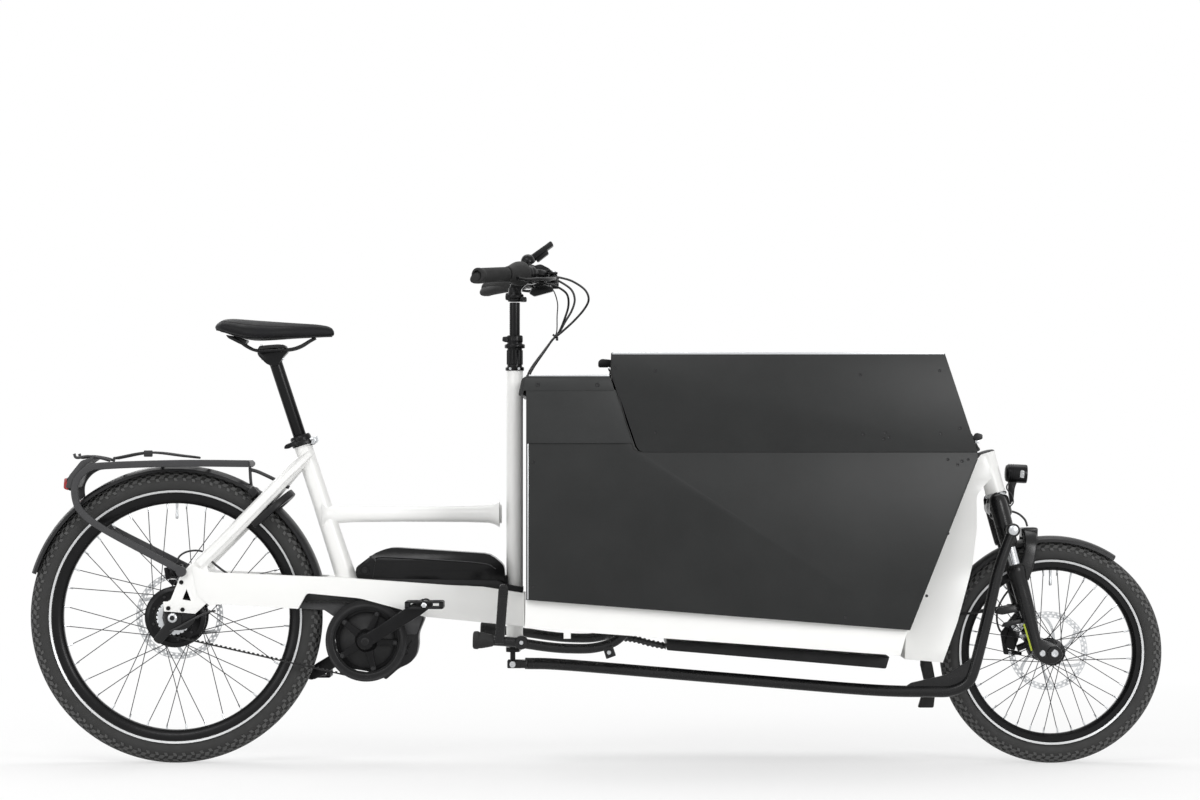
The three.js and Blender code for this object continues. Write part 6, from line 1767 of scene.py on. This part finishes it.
# %% Grips, shifter and brake levers
def make_grip(side, start, name, node):
    """A ribbed sleeve with a wing that spreads under the palm."""
    axis_a, axis_b = grip_line(start, side), grip_line(1.02, side)
    length = (axis_b - axis_a).length
    profile = [(11.9, 0), (15.4, 0), (16.6, 1.5)]
    pitch = 4.4
    for k in range(int((length - 16) / pitch)):
        t = 5 + pitch * k
        profile += [(16.6, t), (15.9, t + 0.8), (15.9, t + 2.0), (16.6, t + 2.8)]
    profile += [(16.6, length - 9), (17.4, length - 7), (17.4, length - 2), (15.6, length), (11.9, length)]
    sleeve = turned("sleeve", profile, axis_a, axis_b, 44, ring=True)
    bm = bmesh.new()
    along = (axis_b - axis_a).normalized()
    rings = []
    for share, wide, thick in ((0.42, 12, 9), (0.52, 16, 11), (0.68, 20, 12), (0.84, 23, 13), (0.96, 22, 13),
                               (1.015, 17, 10)):
        centre = grip_line(share, side) + Vector((-6 * share, 0, -4.5))
        out = Vector((-0.78, 0.0, -0.30)).normalized()
        over = along.cross(out).normalized()
        out = over.cross(along).normalized()
        rings.append([bm.verts.new(centre + out * (wide * math.cos(a) * (1 if math.cos(a) * out.x < 0 else 0.7))
                                   + over * thick * math.sin(a)) for a in (2 * math.pi * i / 24 for i in range(24))])
    skin(bm, rings)
    wing = modified(finish_bmesh(bm, "wing"), "SUBSURF", levels=1)
    place_piece([sleeve, wing], name, GRIP_RUBBER, "handlebar_set", (node,), 50)


make_grip(-1, 0.42, "grip_right_sleeve", "grip_right")
make_grip(1, 0.08, "grip_left_sleeve", "grip_left")


def make_shifter():
    length = 58.0
    profile = [(12, 0), (22, 0), (25.5, 1.5), (27.4, 5), (28.2, 12), (27.6, 20), (25.4, 28), (22.4, 36), (19.6, 45),
               (18.2, 54), (17, 57.4), (15.6, 58), (12, 58)]
    start, end = grip_line(0.06, -1), grip_line(0.4, -1)
    drum = turned("drum", [(r, t * (end - start).length / length) for r, t in profile], start, end, 48, ring=True)
    place_piece(drum, "shifter_drum", GRIP_RUBBER, "twist", ("twist_shifter",), 50)


make_shifter()


# The left lever's pivot, upright
LEVER_AXIS = ((-97, 120, 0), (-97, 120, 1))


def make_lever(side, name, node, body):
    blade = swept("blade", bar_section(5.5, 3.6, 3), sided([
        (-98, 124, 1124), (-98, 150, 1121), (-106, 186, 1118), (-128, 228, 1116), (-158, 272, 1112),
        (-176, 294, 1114)], side), 9, sizes=[1.35, 1.2, 1.0, 1.0, 1.0, 0.9])
    knuckle = turned("knuckle", [
        (0, 1115.8), (7, 1115.8), (8.6, 1117), (8.6, 1130), (7, 1131.2), (0, 1131.2)], *sided(LEVER_AXIS, side), 32)
    place_piece([blade, knuckle], name, BLACK_ANODISED, body, (node,), 50)


make_lever(-1, "brake_blade_right", "brake_lever_right", "lever_right")
make_lever(1, "brake_blade_left", "brake_lever_left", "lever_left")
for side, word in SIDES:
    pivot = turned("pivot", [
        (0, 1137.6), (2.2, 1137.6), (2.6, 1139.4), (4.6, 1139.4), (5.4, 1138), (5.4, 1136)
    ], *sided(LEVER_AXIS, side), 22)
    place_piece(pivot, "lever_pivot_" + word, STEEL, "handlebar_set")


# %% Display
def make_display():
    case = slab("case", [
        (-153, 1181, 4), (-145.5, 1170.5, 4), (-98.4, 1205.2, 4), (-104.9, 1215.1, 4)], -28.5, 28.5, edge=2.4)
    rim = slab("rim", [(-142, 1174, 3), (-136, 1166, 3), (-110, 1186, 3), (-114, 1196, 3)], -20, 20, edge=1.5)
    neck = slab("neck", [
        (-128, 1187, 3), (-144, 1166, 3), (-152, 1160.6, 3), (-160, 1160.6, 3), (-160.4, 1165, 3), (-147, 1178, 3)
    ], -9, 9, edge=1.6)
    pin = rod("pin", (-156, -12, 1163), (-156, 12, 1163), 4.5, segments=24)
    place_piece([case, rim, neck, pin], "display_case", PLASTIC, "screen", ("display",))
    glass = slab("glass", [(-149.6, 1180.2), (-149.0, 1179.4), (-106.6, 1212.0), (-107.2, 1212.8)], -25.5, 25.5)
    glass.transform(Matrix.Translation(Vector((-0.62, 0, 0.78)) * MM))
    place_piece(glass, "display_glass", GLOSS_PLASTIC, "screen")
    mount = slab("mount", [(-166, 1146, 3), (-146, 1144, 3), (-148, 1158.4, 3), (-160, 1158.4, 3)], -26, 26, edge=2)
    place_piece(mount, "display_mount", PLASTIC, "handlebar_set")


make_display()


# %% Cables from the bar into the hood
# For each cable: its radius, its route from the bar down to the tie, and its place across the bundle
CABLES = [
    (2.6, [(-111.7, -88, 1132), (-100, -62, 1130), (-80, -54, 1127), (-54, -50, 1119), (-26, -46, 1100),
    (-17, -40, 1078), (-27, -30, 1056), (-51, -18, 1029), (-80, -8, 1003)], -6.6), (2.6, [(-111.7, 88, 1132),
    (-100, 64, 1130), (-82, 52, 1122), (-58, 42, 1104), (-50, 32, 1080), (-57, 22, 1054), (-72, 12, 1028),
    (-86, 7, 1003)], 6.6), (2.6, [(-141, -130, 1117), (-118, -110, 1112), (-92, -84, 1106), (-68, -58, 1090),
    (-64, -38, 1064), (-73, -16, 1034), (-86, -2, 1004)], -1.6), (1.4, [(-124, 60, 1128), (-112, 40, 1116),
    (-98, 24, 1098), (-90, 12, 1070), (-91, 6, 1040), (-92, 3, 1004)], 2.4)]
# The bundle's way down beside the column, and how far each cable bows out of it
BUNDLE = [
    (-101, 986), (-112, 971), (-122, 957), (-132, 943), (-141.5, 929.5), (-150, 916), (-155.5, 905), (-158.5, 895),
    (-160, 887)]
SHIFTS = (2.4, -0.4, -3.4, -7.0)


def make_cables():
    tubes = []
    for (radius, start, apart), shift in zip(CABLES, SHIFTS):
        count = len(BUNDLE) - 1
        route = start + [(x + shift * math.sin(math.pi * i / count), apart * (0.6 + 0.4 * i / count),
                          z + 0.6 * shift * math.sin(math.pi * i / count)) for i, (x, z) in enumerate(BUNDLE)]
        tubes.append(swept("tube", round_section(radius, 12), route, 7))
    for side in (-1, 1):
        tubes.append(turned("sleeve", [
            (2.6, -12), (4.2, -12), (4.8, -10), (4.4, 0), (3.0, 8), (2.6, 9)
        ], (-106, side * 76, 1131), (-101, side * 64, 1130), 16, ring=True))
    tie = turned("tie", [
        (5.6, -2.4), (7.4, -2.4), (7.8, -1.6), (7.8, 1.6), (7.4, 2.4), (5.6, 2.4)
    ], (-95, 0, 993), (-99.5, 0, 987), 24, ring=True)
    knot = boxed("knot", -94, -88, -6, -2, 983, 989, 1)
    piece = place_piece([*tubes, tie, knot], "cable_set", HOUSING, None, ("control_cables",), 180)
    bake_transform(piece)


make_cables()

# %% [markdown]
# ## The saddle and its post
# The saddle is foam under a coated knit, pulled over a plastic base. Its skin is made as a closed shell,
# remeshed, and puffed by a short cloth simulation with its lower edge held, as foam fills a cover.


# %% Seat post, clamp and rails
POST_LEAN = (SEAT_FOOT - SEAT_TOP).normalized()


def post_at(distance):
    """A point on the seat post's axis, a distance above the seat tube's mouth."""
    return SEAT_TOP - POST_LEAN * distance


def make_post():
    shaft = turned("shaft", [
        (0, -105), (14.6, -105), (15.2, -104), (15.2, 180), (16.4, 190), (17.6, 196), (0, 197)
    ], post_at(0), post_at(1), 56)
    head = slab("head", [
        (-790, 958, 4), (-788, 948, 6), (-766, 926, 10), (-742, 922, 8), (-728, 946, 6), (-718, 956, 4),
        (-722, 962, 4), (-760, 961, 4)], -17.5, 17.5, edge=3.0)
    cradle = slab("cradle", [(-788, 954, 3), (-722, 958, 3), (-724, 964, 3), (-786, 961, 3)], -31, 31, edge=1.6)
    place_piece([shaft, head, cradle], "post_set", BLACK_ANODISED, "seat", ("seat_post",))
    bolts = [rod("bolt", (x, 0, 938), (x - 2, 0, 974), 2.8, segments=16) for x in (-779, -731)]
    nuts = [rod("nut", (x, -7, z), (x, 7, z), 4.6, segments=20) for x, z in ((-780, 966), (-730, 969))]
    place_piece([*bolts, *nuts], "post_bolts", STEEL, "seat")


def make_seat_clamp():
    ring = turned("ring", [
        (20.5, -19.6), (23.6, -19.6), (24.6, -18.4), (24.6, -3), (24.2, 1), (22, 4.6), (16.4, 4.6), (16.2, 0.6),
        (20.5, 0.6)], post_at(0), post_at(1), 56, ring=True)
    ear = slab("ear", [(-672, 738, 3), (-655, 741, 4), (-652, 756, 4), (-668, 756, 3)], -10, 10, edge=1.6)
    lever = slab("lever", [
        (-700, 752, 3), (-711, 745, 3), (-724, 740, 5), (-727, 730, 5), (-714, 731, 4), (-696, 742, 3)
    ], -24, -17, edge=2.0)
    link = swept("link", bar_section(3, 5, 2), [
        (-708, -21, 740), (-690, -27, 744), (-668, -20, 748), (-660, -8, 749)], 5)
    place_piece([ring, ear, lever, link], "seat_clamp_set", BLACK_ANODISED, "chassis",
                ("seat_clamp",))
    nut = turned("nut", [
        (0, 6), (3, 6), (3.6, 8), (6.4, 8), (8.2, 6.6), (8.8, 3), (8.8, -4), (0, -4)
    ], (-660, -12, 750), (-660, -13, 750), 36)
    tail = slab("tail", [
        (-656, 758, 2), (-650, 762, 2), (-646, 752, 2), (-650, 744, 2), (-655, 744, 2)], -16, -11, edge=0.8)
    place_piece([nut, tail], "seat_clamp_nut", STEEL, "chassis")


def make_rails():
    route = [(-848, 31, 990), (-832, 29, 982), (-812, 25, 968), (-792, 22, 960), (-760, 22, 960), (-715, 21, 962),
             (-690, 17, 969), (-668, 9, 982), (-655, 6, 989)]
    parts = [swept("rail", round_section(3.6, 16), sided(route, side), 7) for side in (-1, 1)]
    upper = slab("upper", [
        (-788, 961, 3), (-783, 970, 3), (-764, 972, 6), (-738, 974, 6), (-724, 972, 3), (-722, 966, 3),
        (-750, 965, 10)], -32, 32, edge=2.0)
    bumper = slab("bumper", [
        (-862, 996, 4), (-856, 988, 4), (-826, 973, 4), (-816, 976, 4), (-812, 984, 4), (-836, 992, 4)
    ], -30, 30, edge=2.4)
    place_piece([*parts, upper, bumper], "saddle_frame", PLASTIC, "seat", ("saddle_rails",))


make_post()
make_seat_clamp()
make_rails()

# %% Saddle
# Each station: x, half width, height of the crown and height of the skirt
STATIONS = [
    (-887, 44, 1016, 1008), (-881, 60, 1026, 1005), (-868, 77, 1034, 1001), (-845, 84, 1035, 993),
    (-815, 83, 1032, 985), (-790, 74, 1029.5, 982.5), (-750, 54, 1026.5, 984), (-705, 36, 1025, 987),
    (-655, 25, 1023.5, 989.5), (-628, 20, 1020, 991), (-617, 15.5, 1015.5, 991.5), (-611, 11, 1008, 993)]


def saddle_shell(shrink):
    """Rings across the saddle: crowned on top, rolled at the sides and nearly flat below."""
    bm = bmesh.new()
    rings = []
    for x, half, top, skirt in STATIONS:
        half, top, skirt = half - shrink, top - shrink, skirt + shrink * 0.4
        middle = skirt + (top - skirt) * 0.34
        ring = []
        for k in range(36):
            turn = 2 * math.pi * k / 36
            across, lift = math.cos(turn), math.sin(turn)
            y = half * math.copysign(abs(across) ** 0.72, across)
            if lift >= 0:
                crown = 1 - 0.10 * abs(y / half) ** 2
                z = middle + (top - middle) * lift ** 0.86 * crown
            else:
                z = middle - (middle - skirt) * abs(lift) ** 0.6
            ring.append(bm.verts.new((x, y, z)))
        rings.append(ring)
    skin(bm, rings)
    return finish_bmesh(bm, "saddle_shell")


def blow_up(mesh, cap_mm, pressure, frames):
    """Lets pressure fill a closed mesh as cloth, with its lower edge held and its growth capped."""
    holder = bpy.data.objects.new("cover", mesh)
    bpy.context.scene.collection.objects.link(holder)
    held = holder.vertex_groups.new(name="held")
    held.add([v.index for v in mesh.vertices if v.normal.z < -0.2], 1.0, "REPLACE")
    cloth = holder.modifiers.new("cloth", "CLOTH")
    cloth.settings.use_pressure = True
    cloth.settings.uniform_pressure_force = pressure
    cloth.settings.effector_weights.gravity = 0.0
    cloth.settings.vertex_group_mass = "held"
    cloth.settings.quality = 5
    cloth.point_cache.frame_start, cloth.point_cache.frame_end = 1, frames
    for number in range(1, frames + 1):
        bpy.context.scene.frame_set(number)
    blown = holder.evaluated_get(bpy.context.evaluated_depsgraph_get())
    for vertex, target in zip(mesh.vertices, blown.to_mesh().vertices):
        move = target.co - vertex.co
        if move.length > cap_mm * MM:
            move = move.normalized() * cap_mm * MM
        vertex.co = vertex.co + move
    blown.to_mesh_clear()
    bpy.data.objects.remove(holder)
    bpy.context.scene.frame_set(1)


def puffed(mesh, voxel_mm, cap_mm, pressure, frames):
    even = modified(mesh, "REMESH", mode="VOXEL", voxel_size=voxel_mm * MM)
    blow_up(even, cap_mm, pressure, frames)
    return modified(modified(even, "SMOOTH", factor=0.5, iterations=6), "SUBSURF", levels=1)


def make_saddle():
    cover = puffed(saddle_shell(2.0), 4.0, 4.0, 3.0, 14)
    piece = place_piece(cover, "saddle_cover", SADDLE_COVER, "seat", ("saddle",), 60)
    print("saddle cover", len(cover.polygons), "faces")
    lips = []
    for side in (-1, 1):
        route = [(x, side * (half - 2.0) * 0.8, skirt + (top - skirt) * 0.08)
                 for x, half, top, skirt in STATIONS[1:-1]]
        lips.append(swept("lip", round_section(1.6, 10), route, 6))
    place_piece(lips, "saddle_lip", PLASTIC, "seat")
    seams = []
    for side in (-1, 1):
        route = [(x, side * half * 0.93, skirt + (top - skirt) * 0.73) for x, half, top, skirt in STATIONS[2:11]]
        seams.append(swept("seam", round_section(0.9, 8), route, 8))
    place_piece(seams, "saddle_seams", GRIP_RUBBER, "seat")


make_saddle()
